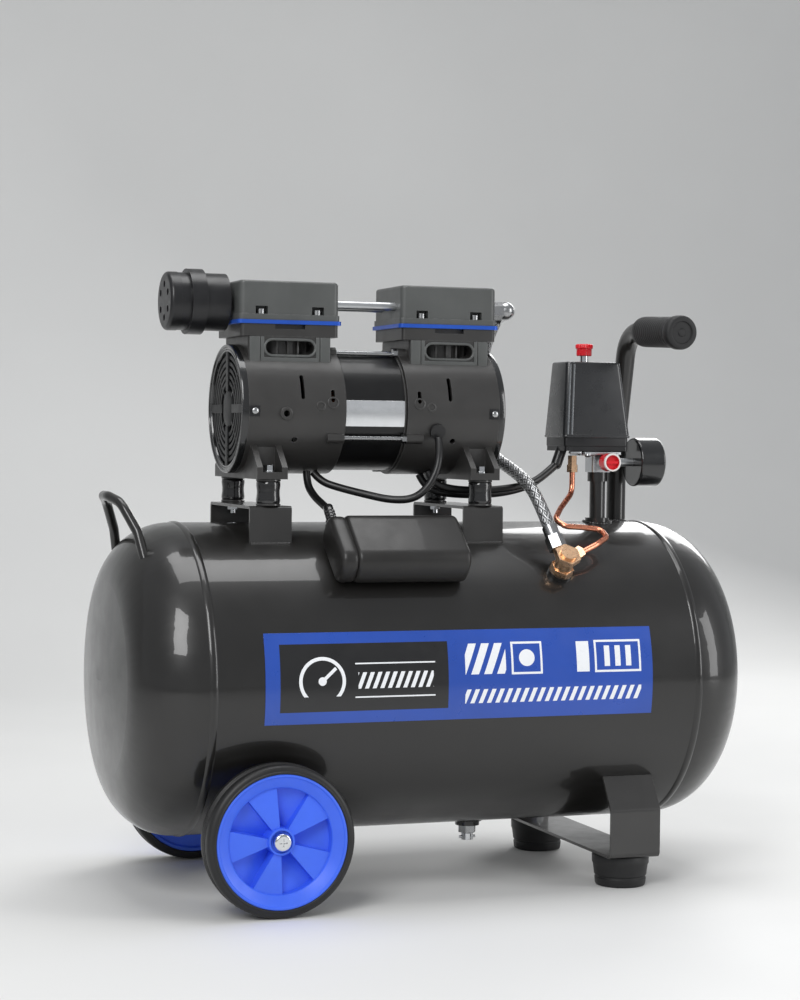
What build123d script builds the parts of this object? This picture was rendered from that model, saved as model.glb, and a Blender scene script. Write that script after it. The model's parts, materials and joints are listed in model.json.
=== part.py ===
from build123d import *

import os
from math import asin, cos, pi, radians, sin, sqrt, tan

# A 50 litre oil-free air compressor, in millimetres.
# +X runs along the tank to the pressure switch, -Y is the front, +Z is up.
# The origin is on the floor, under the middle of the tank.

# Driving dimensions -------------------------------------------------------------------------------

# tank
TANK_R = 160.0
TANK_Z = 217.0
TANK_WALL = 2.5
SEAM_X = 256.0
SEAM_WIDTH = 8.0
SEAM_PROUD = 1.3
HEAD_DEPTH = 74.0
KNUCKLE_R = 68.0
BUNG_R = 13.0
BUNG_SINK = 6.0

# pump, which lies along X and is the same on both sides of PUMP_X
PUMP_X = -65.0
PUMP_Z = 494.0
STATOR_HALF = 34.0
STATOR_R = 62.5
CASE_HALF = 136.0
CASE_R = 66.5
CASE_WALL = 4.0
COVER_DEPTH = 7.0
SHAFT_R = 7.5
BEARING_R = 16.0
BEARING_WIDTH = 9.0
BULKHEAD_U = 56.0
ROTOR_R = 30.0
AIR_GAP = 0.8
THROW = 7.5
CRANK_R = 13.0
ROD_WIDTH = 12.0
BIG_END_ROOM = 3.0
BIG_END_WALL = 4.5
CUP_SEAL_HIGH = 2.5
CYL_U = 87.0
BORE_R = 30.0
SLEEVE_WALL = 2.5
FIN_R = 37.0
BLOCK_SIDE = 88.0
BLOCK_LOW = 540.0
FLANGE_LOW = 568.0
FLANGE_HIGH = 580.5
PLATE_THICK = 4.0
HEAD_LONG = 108.0
HEAD_WIDE = 88.0
LIP_HEIGHT = 6.0
HEAD_HIGH = 624.5
HEAD_WALL = 4.0
TUBE_Z = 603.0
TRANSFER_R = 4.5
TRANSFER_Y = 20.0
FAN_R = 50.0
FAN_U = 119.0
TIE_RADIUS = 65.8
TIE_ANGLES = (26.0, 116.0, 206.0, 296.0)
TIE_BOLT_R = 2.5
WINDOW_LOW = 549.0
WINDOW_HIGH = 564.0
WINDOW_LONG = 53.0
FRONT_BOSS_U = 97.0
FRONT_BOSS_R = 6.5
INTAKE_R = 9.0
OUTLET_R = 6.0
FILTER_R = 29.5
FILTER_LONG = 56.0
GLAND_U = 67.0
GLAND_R = 6.0
GLAND_ANGLE = 108.0

# pump mounting
MOUNT_U = 115.0
MOUNT_Y = 65.5
MOUNT_R = 12.5
MOUNT_BOLT_R = 3.0
MOUNT_NUT = 10.0
BRACKET_TOP = 396.0
BRACKET_HALF = 75.5
BRACKET_WIDE = 44.0
STEEL = 3.0
BRACKET_BEND = 4.0
FOOT_LOW = 423.0
FOOT_HALF = 80.0

# wheels
WHEEL_X = -196.0
WHEEL_R = 75.0
TYRE_WIDTH = 34.0
TYRE_GAP = 13.0
RIM_R = 66.0
AXLE_R = 5.0
AXLE_PLAY = 0.08
HUB_R = 13.5
BLADE_R = 52.0
STRAP_HALF = 25.0
WHEEL_LEG_IN = 26.0
WHEEL_LEG_Y = TANK_R - WHEEL_LEG_IN
WHEEL_FACE_Y = WHEEL_LEG_Y + TYRE_GAP + TYRE_WIDTH

# feet
FEET_X = 196.0
FEET_LEG_IN = 14.0
FEET_LEG_Y = TANK_R - FEET_LEG_IN
FEET_TOP_ANGLE = 38.5
FEET_TOP_SINK = 4.0
FEET_LEG_WIDE = 56.0
FEET_BEND_Z = 83.0
FEET_PLATE_Z = 36.0
RUBBER_IN = 36.0
RUBBER_Y = FEET_LEG_Y - RUBBER_IN
RUBBER_R = 30.0
FOOT_BOLT_R = 4.0
FOOT_SCREW_LOW = 14.0

# pressure switch and fittings
SWITCH_X = 196.0
SWITCH_Y = -12.0
SWITCH_LONG = 80.0
SWITCH_DEEP = 59.0
SWITCH_LOW = 462.0
SWITCH_HIGH = 551.0
RISER_X = 209.0
RISER_R = 8.5
MANIFOLD_Z = 442.0
MANIFOLD_HALF = 11.0
SWITCH_WALL = 3.0
KNOB_X = 191.0
KNOB_R = 9.5
KNOB_STEM_R = 5.0
KNOB_TRAVEL = 5.0
OUTLET_BORE = 5.8
OUTLET_KNOB_R = 9.7
GAUGE_R = 26.5
GAUGE_X = 250.0
GAUGE_DEEP = 29.0
GAUGE_WALL = 3.0
VALVE_X = 120.0
VALVE_ANGLE = 46.0
VALVE_R = 11.0
DRAIN_X = 66.0
DRAIN_SCREW_R = 4.0
RUN_FIT = 0.05

# capacitor box, lying on the shell
BOX_LOW_X = -128.0
BOX_HIGH_X = 9.0
BOX_DEEP = 74.0
BOX_HIGH = 40.0
BOX_WALL = 3.0
BOX_ROUND = 16.0
BOX_TILT = 40.0
BOX_LIFT = 19.5
BOOT_R = 5.5
BOX_BOOT_REACH = 24.0
SWITCH_BOOT_REACH = 18.5
CAPACITOR_R = 15.0
CAPACITOR_LONG = 86.0

# flexible and bent lines: radii
HOSE_R = 6.75
COPPER_R = 3.0
CABLE_R = 4.0
HANDLE_R = 10.5
GRIP_R = 16.5
GRIP_LONG = 87.0
GRIP_COLLAR = 1.5
CARRY_R = 5.0

# Worked-out values --------------------------------------------------------------------------------

PLATE_LOW = FLANGE_HIGH
COVER_LOW = PLATE_LOW + PLATE_THICK
BIG_END_R = CRANK_R + 2 * THROW + BIG_END_ROOM
BIG_END_OUT = BIG_END_R + BIG_END_WALL
PISTON_TOP = FLANGE_HIGH - THROW - 0.6
VALVE_DIR = Vector(0, -sin(radians(VALVE_ANGLE)), cos(radians(VALVE_ANGLE)))
VALVE_FOOT = Vector(VALVE_X, 0, TANK_Z) + VALVE_DIR * TANK_R
VALVE_MID = VALVE_FOOT + VALVE_DIR * 15
HOSE_PORT = Vector(-0.16, 0.526, 0.835).normalized()
TUBE_PORT = Vector(0.85, 0.2, 0.49).normalized()
DRAIN_LOW = TANK_Z - TANK_R - 6
DRAIN_HEX_LOW = DRAIN_LOW - 8
FILTER_X = PUMP_X - CYL_U - HEAD_LONG / 2 + 1
FILTER_SEAM = FILTER_X - FILTER_LONG

# Routes: points chosen along each line's path.
HOSE_ROUTE = [
    (103, 22, 597), (103, 46.6, 579.8), (102, 64.6, 551), (100, 69.3, 517.3), (98, 60, 484.6),
    (97, 38, 458.6), (99, 8, 443.5), (104, -24, 433), (108, -56, 420), (108, -86, 402),
]
LEAD_ROUTE = [
    (-126, -22, 430), (-127, -27, 417), (-124, -42, 405), (-120, -60, 397), (-119, -76, 392),
]
GROMMET_ROUTE = [
    (-118, -20, 429), (-112, -26, 420), (-96, -36, 414), (-74, -50, 408), (-50, -66, 402),
    (-29, -78, 403), (-15, -84, 415), (-5, -84, 434), (0, -78, 452), (2, -68, 465),
]
SWITCH_LEAD_ROUTES = (
    [(8, -22, 431), (12, -25, 419), (28, -29, 413), (54, -32, 411), (84, -33, 412),
     (112, -31, 416), (136, -26, 424), (157, -18, 440)],
    [(4, -6, 427.5), (9, -9, 415), (26, -13, 408), (54, -16, 406), (86, -17, 407),
     (116, -15, 412), (141, -11, 422), (163, -6, 439)],
)
COPPER_ROUTE = [
    (173, -25, 431), (173, -25, 409), (147, -54, 393), (132, -74, 382), (139, -85, 375),
    (158, -86, 374), (178, -89, 372), (178, -104, 364), (162, -116, 358),
]
COPPER_BENDS = [14, 14, 12, 7, 30, 8, 8, 20]
HANDLE_SINK = 11.0
HANDLE_ROUTE = [(250, 28, TANK_Z + TANK_R - HANDLE_SINK), (250, 27, 470), (250, 2, 585), (250, -125, 579)]
HANDLE_BENDS = [120, 32]
CARRY_HALF = [(-49, 64, -40), (-55, 54, -9), (-68, 34, 21), (-76, 12, 27)]  # from the seam and the tank's top
CARRY_ROUTE = [(x - SEAM_X, -y, TANK_Z + TANK_R + z) for x, y, z in CARRY_HALF]
CARRY_ROUTE += [(x, -y, z) for x, y, z in reversed(CARRY_ROUTE)]
CARRY_BENDS = [26, 24, 22, 24, 22, 24]


# Helpers ------------------------------------------------------------------------------------------

def rod(radius, start, end):
    """A round bar from one point to another."""
    start, end = Vector(start), Vector(end)
    face = Plane(origin=start, z_dir=end - start) * Circle(radius)
    return extrude(face, amount=(end - start).length)


def pipe(outer, inner, start, end):
    """A round tube from one point to another."""
    return rod(outer, start, end) - rod(inner, start, end)


def hex_bar(across, start, end):
    """A hexagonal bar from one point to another."""
    start, end = Vector(start), Vector(end)
    face = Plane(origin=start, z_dir=end - start) * RegularPolygon(across / 2, 6, major_radius=False)
    return extrude(face, amount=(end - start).length)


def block(low, high, corner=0.0):
    """A box between two corners, with its upright edges rounded."""
    low, high = Vector(low), Vector(high)
    size = high - low
    middle = (low + high) * 0.5
    solid = Pos(*middle) * Box(size.X, size.Y, size.Z)
    return fillet(solid.edges().filter_by(Axis.Z), corner) if corner else solid


def strap(path, thickness, x_low, x_high, bend):
    """A bent steel strip: a path of (y, z) points, thickened inwards and drawn out along X."""
    plane = Plane(origin=(x_low, 0, 0), x_dir=(0, 1, 0), z_dir=(1, 0, 0))
    line = FilletPolyline(*path, radius=bend)
    outline = offset(line, amount=thickness, side=Side.LEFT, closed=True)
    return extrude(plane * make_face(outline), amount=x_high - x_low)


def corner_radii(points):
    """The largest arc at each corner that its two runs leave room for."""
    radii = []
    for before, corner, after in zip(points, points[1:], points[2:]):
        arriving = Vector(corner) - Vector(before)
        leaving = Vector(after) - Vector(corner)
        half_turn = radians(arriving.get_angle(leaving)) / 2
        radii.append(0.45 * min(arriving.length, leaving.length) / tan(half_turn))
    return radii


def line_along(points, radius, bends=None):
    """A round line through straight runs joined by tangent arcs."""
    path = FilletPolyline(*points, radius=bends or corner_radii(points))
    start = Plane(origin=points[0], z_dir=Vector(points[1]) - Vector(points[0]))
    return sweep(start * Circle(radius), path=path)


def cord(name, points, radius):
    """A flexible line, with its bend radii and its volume printed."""
    solid = line_along(points, radius)
    path = FilletPolyline(*points, radius=corner_radii(points))
    share = solid.volume / (pi * radius ** 2 * path.length)
    print(name, "length", round(path.length), "volume share", round(share, 4),
          "radii", [round(r) for r in corner_radii(points)])
    return solid


def at_pump(solid):
    """Moves a piece from the pump's own axis to its place over the tank."""
    return Pos(PUMP_X, 0, PUMP_Z) * solid


def mirrored(solid):
    """The pump's left piece that matches a right piece, about the middle of the motor."""
    return mirror(solid, about=Plane(origin=(PUMP_X, 0, 0), z_dir=(1, 0, 0)))


def polar(radius, angle):
    """The y and z of a point round the X axis, with the angle from the top towards the front."""
    return -radius * sin(radians(angle)), radius * cos(radians(angle))


# Tank ---------------------------------------------------------------------------------------------

def ports():
    """Each tank port: its point on the shell and its direction."""
    riser_z = TANK_Z + sqrt(TANK_R ** 2 - SWITCH_Y ** 2)
    return {
        "riser": (Vector(RISER_X, SWITCH_Y, riser_z), Vector(0, 0, 1)),
        "valve": (VALVE_FOOT, VALVE_DIR),
        "drain": (Vector(DRAIN_X, 0, TANK_Z - TANK_R), Vector(0, 0, -1)),
    }


def tank_solid():
    """The whole outside of the tank's straight part, for trimming what is welded to it."""
    return rod(TANK_R, (-SEAM_X - SEAM_WIDTH, 0, TANK_Z), (SEAM_X + SEAM_WIDTH, 0, TANK_Z))


def tank_shell():
    """The rolled shell, with a hole for each port."""
    shell = pipe(TANK_R, TANK_R - TANK_WALL, (-SEAM_X, 0, TANK_Z), (SEAM_X, 0, TANK_Z))
    for point, direction in ports().values():
        shell -= rod(BUNG_R, point - direction * 15, point + direction * 15)
    return shell


def head_half(inset, proud):
    """One pressed head, drawn in by inset, as a solid of revolution about X."""
    crown_r = (HEAD_DEPTH ** 2 - KNUCKLE_R ** 2 + (TANK_R - KNUCKLE_R) ** 2) / (2 * (HEAD_DEPTH - KNUCKLE_R))
    start = SEAM_X + SEAM_WIDTH
    crown_x = start + HEAD_DEPTH - crown_r
    meet = asin((TANK_R - KNUCKLE_R) / (crown_r - KNUCKLE_R))
    rim, knuckle, crown = TANK_R - inset, KNUCKLE_R - inset, crown_r - inset
    half = (pi / 2 + meet) / 2
    tangent = (crown_x + crown * cos(meet), crown * sin(meet))
    if proud:
        seam = ThreePointArc((SEAM_X, rim), (SEAM_X + SEAM_WIDTH / 2, rim + proud), (start, rim))
    else:
        seam = Line((SEAM_X, rim), (start, rim))
    knuckle_mid = (start + knuckle * cos(half), TANK_R - KNUCKLE_R + knuckle * sin(half))
    crown_mid = (crown_x + crown * cos(meet / 2), crown * sin(meet / 2))
    tip = (crown_x + crown, 0)
    outline = [
        Line((SEAM_X, 0), (SEAM_X, rim)),
        seam,
        ThreePointArc((start, rim), knuckle_mid, tangent),
        ThreePointArc(tangent, crown_mid, tip),
        Line(tip, (SEAM_X, 0)),
    ]
    return Pos(0, 0, TANK_Z) * revolve(make_face(outline), axis=Axis.X)


def tank_head():
    """The right head, with the joint's bead round its skirt."""
    return head_half(0, SEAM_PROUD) - head_half(TANK_WALL, 0)


def tank_bosses():
    """The threaded bungs welded into the shell."""
    stand = {"riser": 5.0, "valve": 5.0, "drain": 6.0}
    bore = {"riser": RISER_R, "valve": VALVE_R - 3, "drain": 7.0}
    return [
        pipe(BUNG_R, bore[name], point - direction * BUNG_SINK, point + direction * stand[name])
        for name, (point, direction) in ports().items()
    ]


def riser_pipe():
    """The pipe from the tank up to the manifold, with its collar."""
    point, up = ports()["riser"]
    top = MANIFOLD_Z - MANIFOLD_HALF
    stem = rod(RISER_R, point - up * BUNG_SINK, (RISER_X, SWITCH_Y, top))
    collar = rod(RISER_R + 2.5, (RISER_X, SWITCH_Y, top - 10), (RISER_X, SWITCH_Y, top))
    return stem + collar - rod(RISER_R - 2.5, point - up * BUNG_SINK, (RISER_X, SWITCH_Y, top))


def carry_handle():
    """The bent rod loop welded on the left head."""
    loop = line_along(CARRY_ROUTE, CARRY_R, CARRY_BENDS)
    return loop - mirror(head_half(0, 0), about=Plane.YZ)


def pull_handle():
    """The lifting handle's tube: up from the shell, then forward."""
    tube = line_along(HANDLE_ROUTE, HANDLE_R, HANDLE_BENDS)
    return tube - tank_solid() - head_half(0, SEAM_PROUD)


def handle_grip():
    """The rubber grip on the handle, with a flange at its end."""
    end = Vector(HANDLE_ROUTE[-1])
    along = (end - Vector(HANDLE_ROUTE[-2])).normalized()
    start = end - along * GRIP_LONG
    sleeve = rod(GRIP_R, start, end)
    collar = rod(GRIP_R + GRIP_COLLAR, end - along * 12, end + along * 4)
    collar = fillet(collar.edges().filter_by(GeomType.CIRCLE), 1.2)
    return sleeve + collar - rod(HANDLE_R, start - along * 5, end)


# Wheels and feet ----------------------------------------------------------------------------------

def wheel_brackets():
    """A bent strap under the left end, which carries the two axle bolts."""
    low, high = WHEEL_R - 19, TANK_Z - 76
    path = [(-WHEEL_LEG_Y, high), (-WHEEL_LEG_Y, low), (WHEEL_LEG_Y, low), (WHEEL_LEG_Y, high)]
    part = strap(path, STEEL, WHEEL_X - STRAP_HALF, WHEEL_X + STRAP_HALF, 8) - tank_solid()
    return part - rod(AXLE_R, (WHEEL_X, -WHEEL_LEG_Y - 5, WHEEL_R), (WHEEL_X, WHEEL_LEG_Y + 5, WHEEL_R))


def wheel_rim(side):
    """A spoked plastic wheel: rim, web, five propeller blades and a hub. side is -1 at the front."""
    face = side * WHEEL_FACE_Y
    back = side * (WHEEL_FACE_Y - TYRE_WIDTH)
    rim = pipe(RIM_R, RIM_R - 4, (0, face - side * 3, 0), (0, back + side * 3, 0))
    web = rod(RIM_R - 3, (0, face - side * 17, 0), (0, face - side * 21, 0))
    hub = rod(HUB_R, (0, face - side * 4, 0), (0, back - side * 6, 0))
    wheel = rim + web + hub
    for turn in range(5):
        blade = Pos(BLADE_R / 2 + 4, face - side * 13, 0) * Box(BLADE_R - 6, 12, 3)
        wheel += Rot(0, turn * 72, 0) * blade
    wheel -= rod(AXLE_R + AXLE_PLAY, (0, face + side * 5, 0), (0, back - side * 10, 0))
    return Pos(WHEEL_X, 0, WHEEL_R) * wheel


def wheel_tyre(side):
    """The solid rubber tyre, with three ribs round its tread."""
    face = side * WHEEL_FACE_Y
    back = side * (WHEEL_FACE_Y - TYRE_WIDTH)
    body = rod(WHEEL_R, (0, face, 0), (0, back, 0))
    body = fillet(body.edges().filter_by(GeomType.CIRCLE), 5)
    body -= rod(RIM_R, (0, face + side, 0), (0, back - side, 0))
    for step in (-1, 0, 1):
        middle = side * (WHEEL_FACE_Y - TYRE_WIDTH / 2) + step * 7
        body -= pipe(WHEEL_R + 1, WHEEL_R - 1, (0, middle - 0.8, 0), (0, middle + 0.8, 0))
    return Pos(WHEEL_X, 0, WHEEL_R) * body


def axle_bolt(side):
    """A wheel's axle bolt: pan head, washer, shank and nut."""
    face = side * (WHEEL_FACE_Y - 3.6)
    leg = side * WHEEL_LEG_Y
    bolt = rod(9, (0, face, 0), (0, face + side * 5, 0))
    bolt = fillet(bolt.edges().sort_by(Axis.Y)[0 if side < 0 else -1], 3)
    bolt += rod(AXLE_R, (0, face, 0), (0, leg - side * 17, 0))
    for turn in (0, 90):
        bolt -= Pos(0, face + side * 4.5, 0) * Rot(0, turn, 0) * Box(8, 3, 1.6)
    nut = hex_bar(17, (0, leg - side * STEEL, 0), (0, leg - side * (STEEL + 8), 0))
    nut -= rod(AXLE_R, (0, leg, 0), (0, leg - side * 20, 0))
    spacer = pipe(9, AXLE_R, (0, leg, 0), (0, leg + side * 6.5, 0))
    return [Pos(WHEEL_X, 0, WHEEL_R) * piece for piece in (bolt, nut, spacer)]


def foot_bracket():
    """The bent strap that carries the rubber feet, leaning in at its top to the shell."""
    reach, angle = TANK_R - FEET_TOP_SINK, radians(FEET_TOP_ANGLE)
    top = (-reach * cos(angle), TANK_Z - reach * sin(angle))
    path = [top, (-FEET_LEG_Y, FEET_BEND_Z), (-FEET_LEG_Y, FEET_PLATE_Z - STEEL)]
    path += [(-y, z) for y, z in reversed(path)]
    low, high = FEET_X - FEET_LEG_WIDE / 2, FEET_X + FEET_LEG_WIDE / 2
    part = strap(path, STEEL, low, high, 6) - tank_solid()
    for y in (-RUBBER_Y, RUBBER_Y):
        part -= rod(FOOT_BOLT_R, (FEET_X, y, FEET_PLATE_Z - 20), (FEET_X, y, FEET_PLATE_Z + 5))
    return part


def rubber_feet():
    """Two tapered rubber feet with a deep bolt hole."""
    feet = []
    for y in (-RUBBER_Y, RUBBER_Y):
        height = FEET_PLATE_Z - STEEL
        foot = Pos(FEET_X, y, height / 2) * Cone(RUBBER_R - 3.5, RUBBER_R, height)
        foot = fillet(foot.edges().sort_by(Axis.Z)[0], 2)
        foot -= rod(FOOT_BOLT_R, (FEET_X, y, 8), (FEET_X, y, height + 1))
        feet.append(foot - rod(FOOT_BOLT_R + 5, (FEET_X, y, -1), (FEET_X, y, FOOT_SCREW_LOW)))
    return feet


def foot_screws():
    """The screws up through the feet, with their nuts on the strap."""
    screws = []
    for y in (-RUBBER_Y, RUBBER_Y):
        screw = rod(FOOT_BOLT_R, (FEET_X, y, FOOT_SCREW_LOW), (FEET_X, y, FEET_PLATE_Z + 9))
        screws.append(screw + rod(8, (FEET_X, y, FOOT_SCREW_LOW - 4.5), (FEET_X, y, FOOT_SCREW_LOW)))
        nut = hex_bar(13, (FEET_X, y, FEET_PLATE_Z), (FEET_X, y, FEET_PLATE_Z + 6.5))
        screws.append(nut - rod(FOOT_BOLT_R, (FEET_X, y, 0), (FEET_X, y, 60)))
    return screws


# Drain and check valve ----------------------------------------------------------------------------

def drain_body():
    """The drain valve's hexagon body, screwed up into its bung."""
    body = hex_bar(17, (DRAIN_X, 0, DRAIN_LOW), (DRAIN_X, 0, DRAIN_HEX_LOW))
    body += rod(7, (DRAIN_X, 0, DRAIN_LOW), (DRAIN_X, 0, DRAIN_LOW + 10))
    return body - rod(DRAIN_SCREW_R + RUN_FIT, (DRAIN_X, 0, 20), (DRAIN_X, 0, 90))


def drain_screw():
    """The drain screw with its small cross handle."""
    low = DRAIN_HEX_LOW
    screw = rod(DRAIN_SCREW_R, (DRAIN_X, 0, low - 1), (DRAIN_X, 0, DRAIN_LOW + 8))
    screw += rod(6.5, (DRAIN_X, 0, low - 1), (DRAIN_X, 0, low - 8))
    return screw + rod(1.5, (DRAIN_X - 9, 0, low - 5), (DRAIN_X + 9, 0, low - 5))


def check_valve():
    """The brass check valve: body, two ports and a hexagon cap, with the tube's nut."""
    body = rod(VALVE_R - 3, VALVE_FOOT - VALVE_DIR * BUNG_SINK, VALVE_FOOT + VALVE_DIR * 5)
    body += hex_bar(2 * VALVE_R - 1, VALVE_FOOT + VALVE_DIR * 5, VALVE_FOOT + VALVE_DIR * 11)
    body += rod(VALVE_R - 1, VALVE_FOOT + VALVE_DIR * 11, VALVE_FOOT + VALVE_DIR * 24)
    body += rod(6.0, VALVE_MID, VALVE_MID + HOSE_PORT * 17)
    body += rod(4.5, VALVE_MID, VALVE_MID + TUBE_PORT * 16)
    body -= rod(5.0, VALVE_FOOT - VALVE_DIR * 10, VALVE_FOOT + VALVE_DIR * 18)
    cap = hex_bar(2 * VALVE_R + 2, VALVE_FOOT + VALVE_DIR * 24, VALVE_FOOT + VALVE_DIR * 30)
    cap += rod(VALVE_R - 2, VALVE_FOOT + VALVE_DIR * 30, VALVE_FOOT + VALVE_DIR * 33)
    nut = hex_bar(12, VALVE_MID + TUBE_PORT * 16, VALVE_MID + TUBE_PORT * 25)
    tube = unloader_tube()
    return [body - tube, cap, nut - tube]


def copper_points():
    """The unloader tube's route, ending in its nut on the check valve."""
    return COPPER_ROUTE + [tuple(VALVE_MID + TUBE_PORT * 16)]


def unloader_tube():
    """The bent copper tube from the switch's unloader to the check valve."""
    return line_along(copper_points(), COPPER_R, COPPER_BENDS)


# Pump mounting ------------------------------------------------------------------------------------

def mount_places():
    """The x and y of the four rubber mounts."""
    return [(PUMP_X + u, y) for u in (-MOUNT_U, MOUNT_U) for y in (-MOUNT_Y, MOUNT_Y)]


def pump_bracket(side):
    """The saddle under one end of the pump, welded to the shell."""
    middle = PUMP_X + side * MOUNT_U
    low_x, high_x = middle - BRACKET_WIDE / 2, middle + BRACKET_WIDE / 2
    foot = TANK_Z + sqrt(TANK_R ** 2 - BRACKET_HALF ** 2) - 5
    path = [(BRACKET_HALF, foot), (BRACKET_HALF, BRACKET_TOP)]
    path += [(-y, z) for y, z in reversed(path)]
    part = strap(path, STEEL, low_x, high_x, BRACKET_BEND) - tank_solid()
    for y in (-MOUNT_Y, MOUNT_Y):
        part -= rod(MOUNT_BOLT_R, (middle, y, BRACKET_TOP - 10), (middle, y, BRACKET_TOP + 5))
    return part


def rubber_mounts():
    """Four waisted rubber mounts."""
    mounts = []
    for x, y in mount_places():
        waist = (BRACKET_TOP + FOOT_LOW) / 2
        mount = pipe(MOUNT_R, MOUNT_BOLT_R, (x, y, BRACKET_TOP), (x, y, FOOT_LOW))
        mounts.append(mount - pipe(MOUNT_R + 2, MOUNT_R - 1.5, (x, y, waist - 3), (x, y, waist + 3)))
    return mounts


def mount_bolts():
    """The bolt, washer and nut through each mount."""
    pieces = []
    for x, y in mount_places():
        top = FOOT_LOW + 7
        bolt = rod(MOUNT_BOLT_R, (x, y, BRACKET_TOP - 12), (x, y, top))
        bolt += rod(7.5, (x, y, top), (x, y, top + 1.6))
        bolt += hex_bar(MOUNT_NUT, (x, y, top + 1.6), (x, y, top + 7))
        nut = hex_bar(MOUNT_NUT, (x, y, BRACKET_TOP - STEEL), (x, y, BRACKET_TOP - STEEL - 5))
        pieces += [bolt, nut - rod(MOUNT_BOLT_R, (x, y, 300), (x, y, BRACKET_TOP))]
    return pieces


# Pump ---------------------------------------------------------------------------------------------

def case_windows(u, low, high, length):
    """The rounded slot cut through the block, front to back, above one cylinder's shoulder."""
    radius = (high - low) / 2
    middle = (low + high) / 2
    reach = BLOCK_SIDE / 2 + 5
    cut = Pos(u, 0, middle) * Box(length - 2 * radius, 2 * reach, 2 * radius)
    for x in (u - length / 2 + radius, u + length / 2 - radius):
        cut += rod(radius, (x, -reach, middle), (x, reach, middle))
    return cut


def crankcase():
    """The right crankcase, drawn on the pump's axis, before its front details."""
    case = pipe(CASE_R, CASE_R - CASE_WALL, (STATOR_HALF, 0, 0), (CASE_HALF, 0, 0))
    bulkhead = rod(CASE_R - CASE_WALL + 0.5, (BULKHEAD_U, 0, 0), (BULKHEAD_U + BEARING_WIDTH, 0, 0))
    bulkhead -= rod(BEARING_R, (BULKHEAD_U - 1, 0, 0), (BULKHEAD_U + BEARING_WIDTH + 1, 0, 0))
    for turn in range(6):
        y, z = polar(42, turn * 60 + 30)
        bulkhead -= rod(8, (BULKHEAD_U - 1, y, z), (BULKHEAD_U + BEARING_WIDTH + 1, y, z))
    half = BLOCK_SIDE / 2
    neck = block((CYL_U - half, -half, BLOCK_LOW - PUMP_Z - 12), (CYL_U + half, half, FLANGE_LOW - PUMP_Z), 4)
    neck -= rod(CASE_R - 0.5, (0, 0, 0), (CASE_HALF + 20, 0, 0))
    neck -= rod(FIN_R + 1, (CYL_U, 0, 0), (CYL_U, 0, FLANGE_LOW))
    neck -= case_windows(CYL_U, WINDOW_LOW - PUMP_Z, WINDOW_HIGH - PUMP_Z, WINDOW_LONG)
    feet = crankcase_foot() - rod(CASE_R - 0.5, (0, 0, 0), (CASE_HALF + 20, 0, 0))
    case = case + bulkhead + neck + feet
    case -= rod(FIN_R + 1, (CYL_U, 0, 20), (CYL_U, 0, FLANGE_LOW))
    for angle in TIE_ANGLES:
        y, z = polar(TIE_RADIUS, angle)
        boss = rod(TIE_BOLT_R + 3, (STATOR_HALF, y, z), (STATOR_HALF + 18, y, z))
        case += boss - rod(CASE_R - CASE_WALL, (STATOR_HALF, 0, 0), (CASE_HALF, 0, 0))
        case -= rod(TIE_BOLT_R, (STATOR_HALF - 1, y, z), (STATOR_HALF + 14, y, z))
    return case


def crankcase_foot():
    """The cross foot under a crankcase, with an open pocket round each bolt."""
    low = FOOT_LOW - PUMP_Z
    right_edge = [(56, low + 34), (FOOT_HALF, low + 12), (FOOT_HALF, low)]
    left_edge = [(-y, z) for y, z in reversed(right_edge)]
    outline = Polyline(*left_edge, *right_edge, close=True)
    plane = Plane(origin=(MOUNT_U - 16, 0, 0), x_dir=(0, 1, 0), z_dir=(1, 0, 0))
    foot = extrude(plane * make_face(outline), amount=32)
    for side in (-1, 1):
        near, far = sorted((side * 54, side * (FOOT_HALF + 10)))
        foot -= block((MOUNT_U - 10, near, low + 7), (MOUNT_U + 10, far, low + 60))
        foot -= rod(MOUNT_BOLT_R, (MOUNT_U, side * MOUNT_Y, low - 5), (MOUNT_U, side * MOUNT_Y, low + 10))
    return foot


def front_slot(u, angle, length, width):
    """A slot through the case wall, along its height, as a cutter."""
    y, z = polar(CASE_R, angle)
    plane = Plane(origin=(u, y, z), x_dir=(0, cos(radians(angle)), sin(radians(angle))), z_dir=(0, y, z))
    return extrude(plane * SlotOverall(length, width), amount=12, both=True)


def case_details(case, mirror_side):
    """Cuts the vents, screw holes and bosses into the front and back of a crankcase."""
    for flip in (0, 180):
        case -= Rot(flip, 0, 0) * front_slot(79 if mirror_side else 81, 70, 26, 4.2)
        case -= Rot(flip, 0, 0) * front_slot(47, 78, 13, 4.2)
    y, z = polar(CASE_R, 118)
    case -= rod(3, (86, y * 0.8, z * 0.8), (86, y * 1.2, z * 1.2))
    for angle in (92, 272):
        y, z = polar(CASE_R - 2, angle)
        case -= rod(2, (CASE_HALF - 12, y, z), (CASE_HALF + 1, y, z))
    return case


def left_crankcase():
    """The left crankcase, with its threaded front boss."""
    case = case_details(crankcase(), True)
    y, z = polar(CASE_R, 94)
    case += rod(FRONT_BOSS_R, (FRONT_BOSS_U, y * 0.96, z), (FRONT_BOSS_U, y * 1.03, z))
    case -= rod(FRONT_BOSS_R / 2, (FRONT_BOSS_U, y * 0.8, z), (FRONT_BOSS_U, y * 1.2, z))
    return mirrored(at_pump(case))


def right_crankcase():
    """The right crankcase, with the hole for the cable's gland."""
    case = case_details(crankcase(), False)
    y, z = polar(CASE_R, GLAND_ANGLE)
    case -= rod(GLAND_R, (GLAND_U, y * 0.8, z * 0.8), (GLAND_U, y * 1.2, z * 1.2))
    return at_pump(case)


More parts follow.
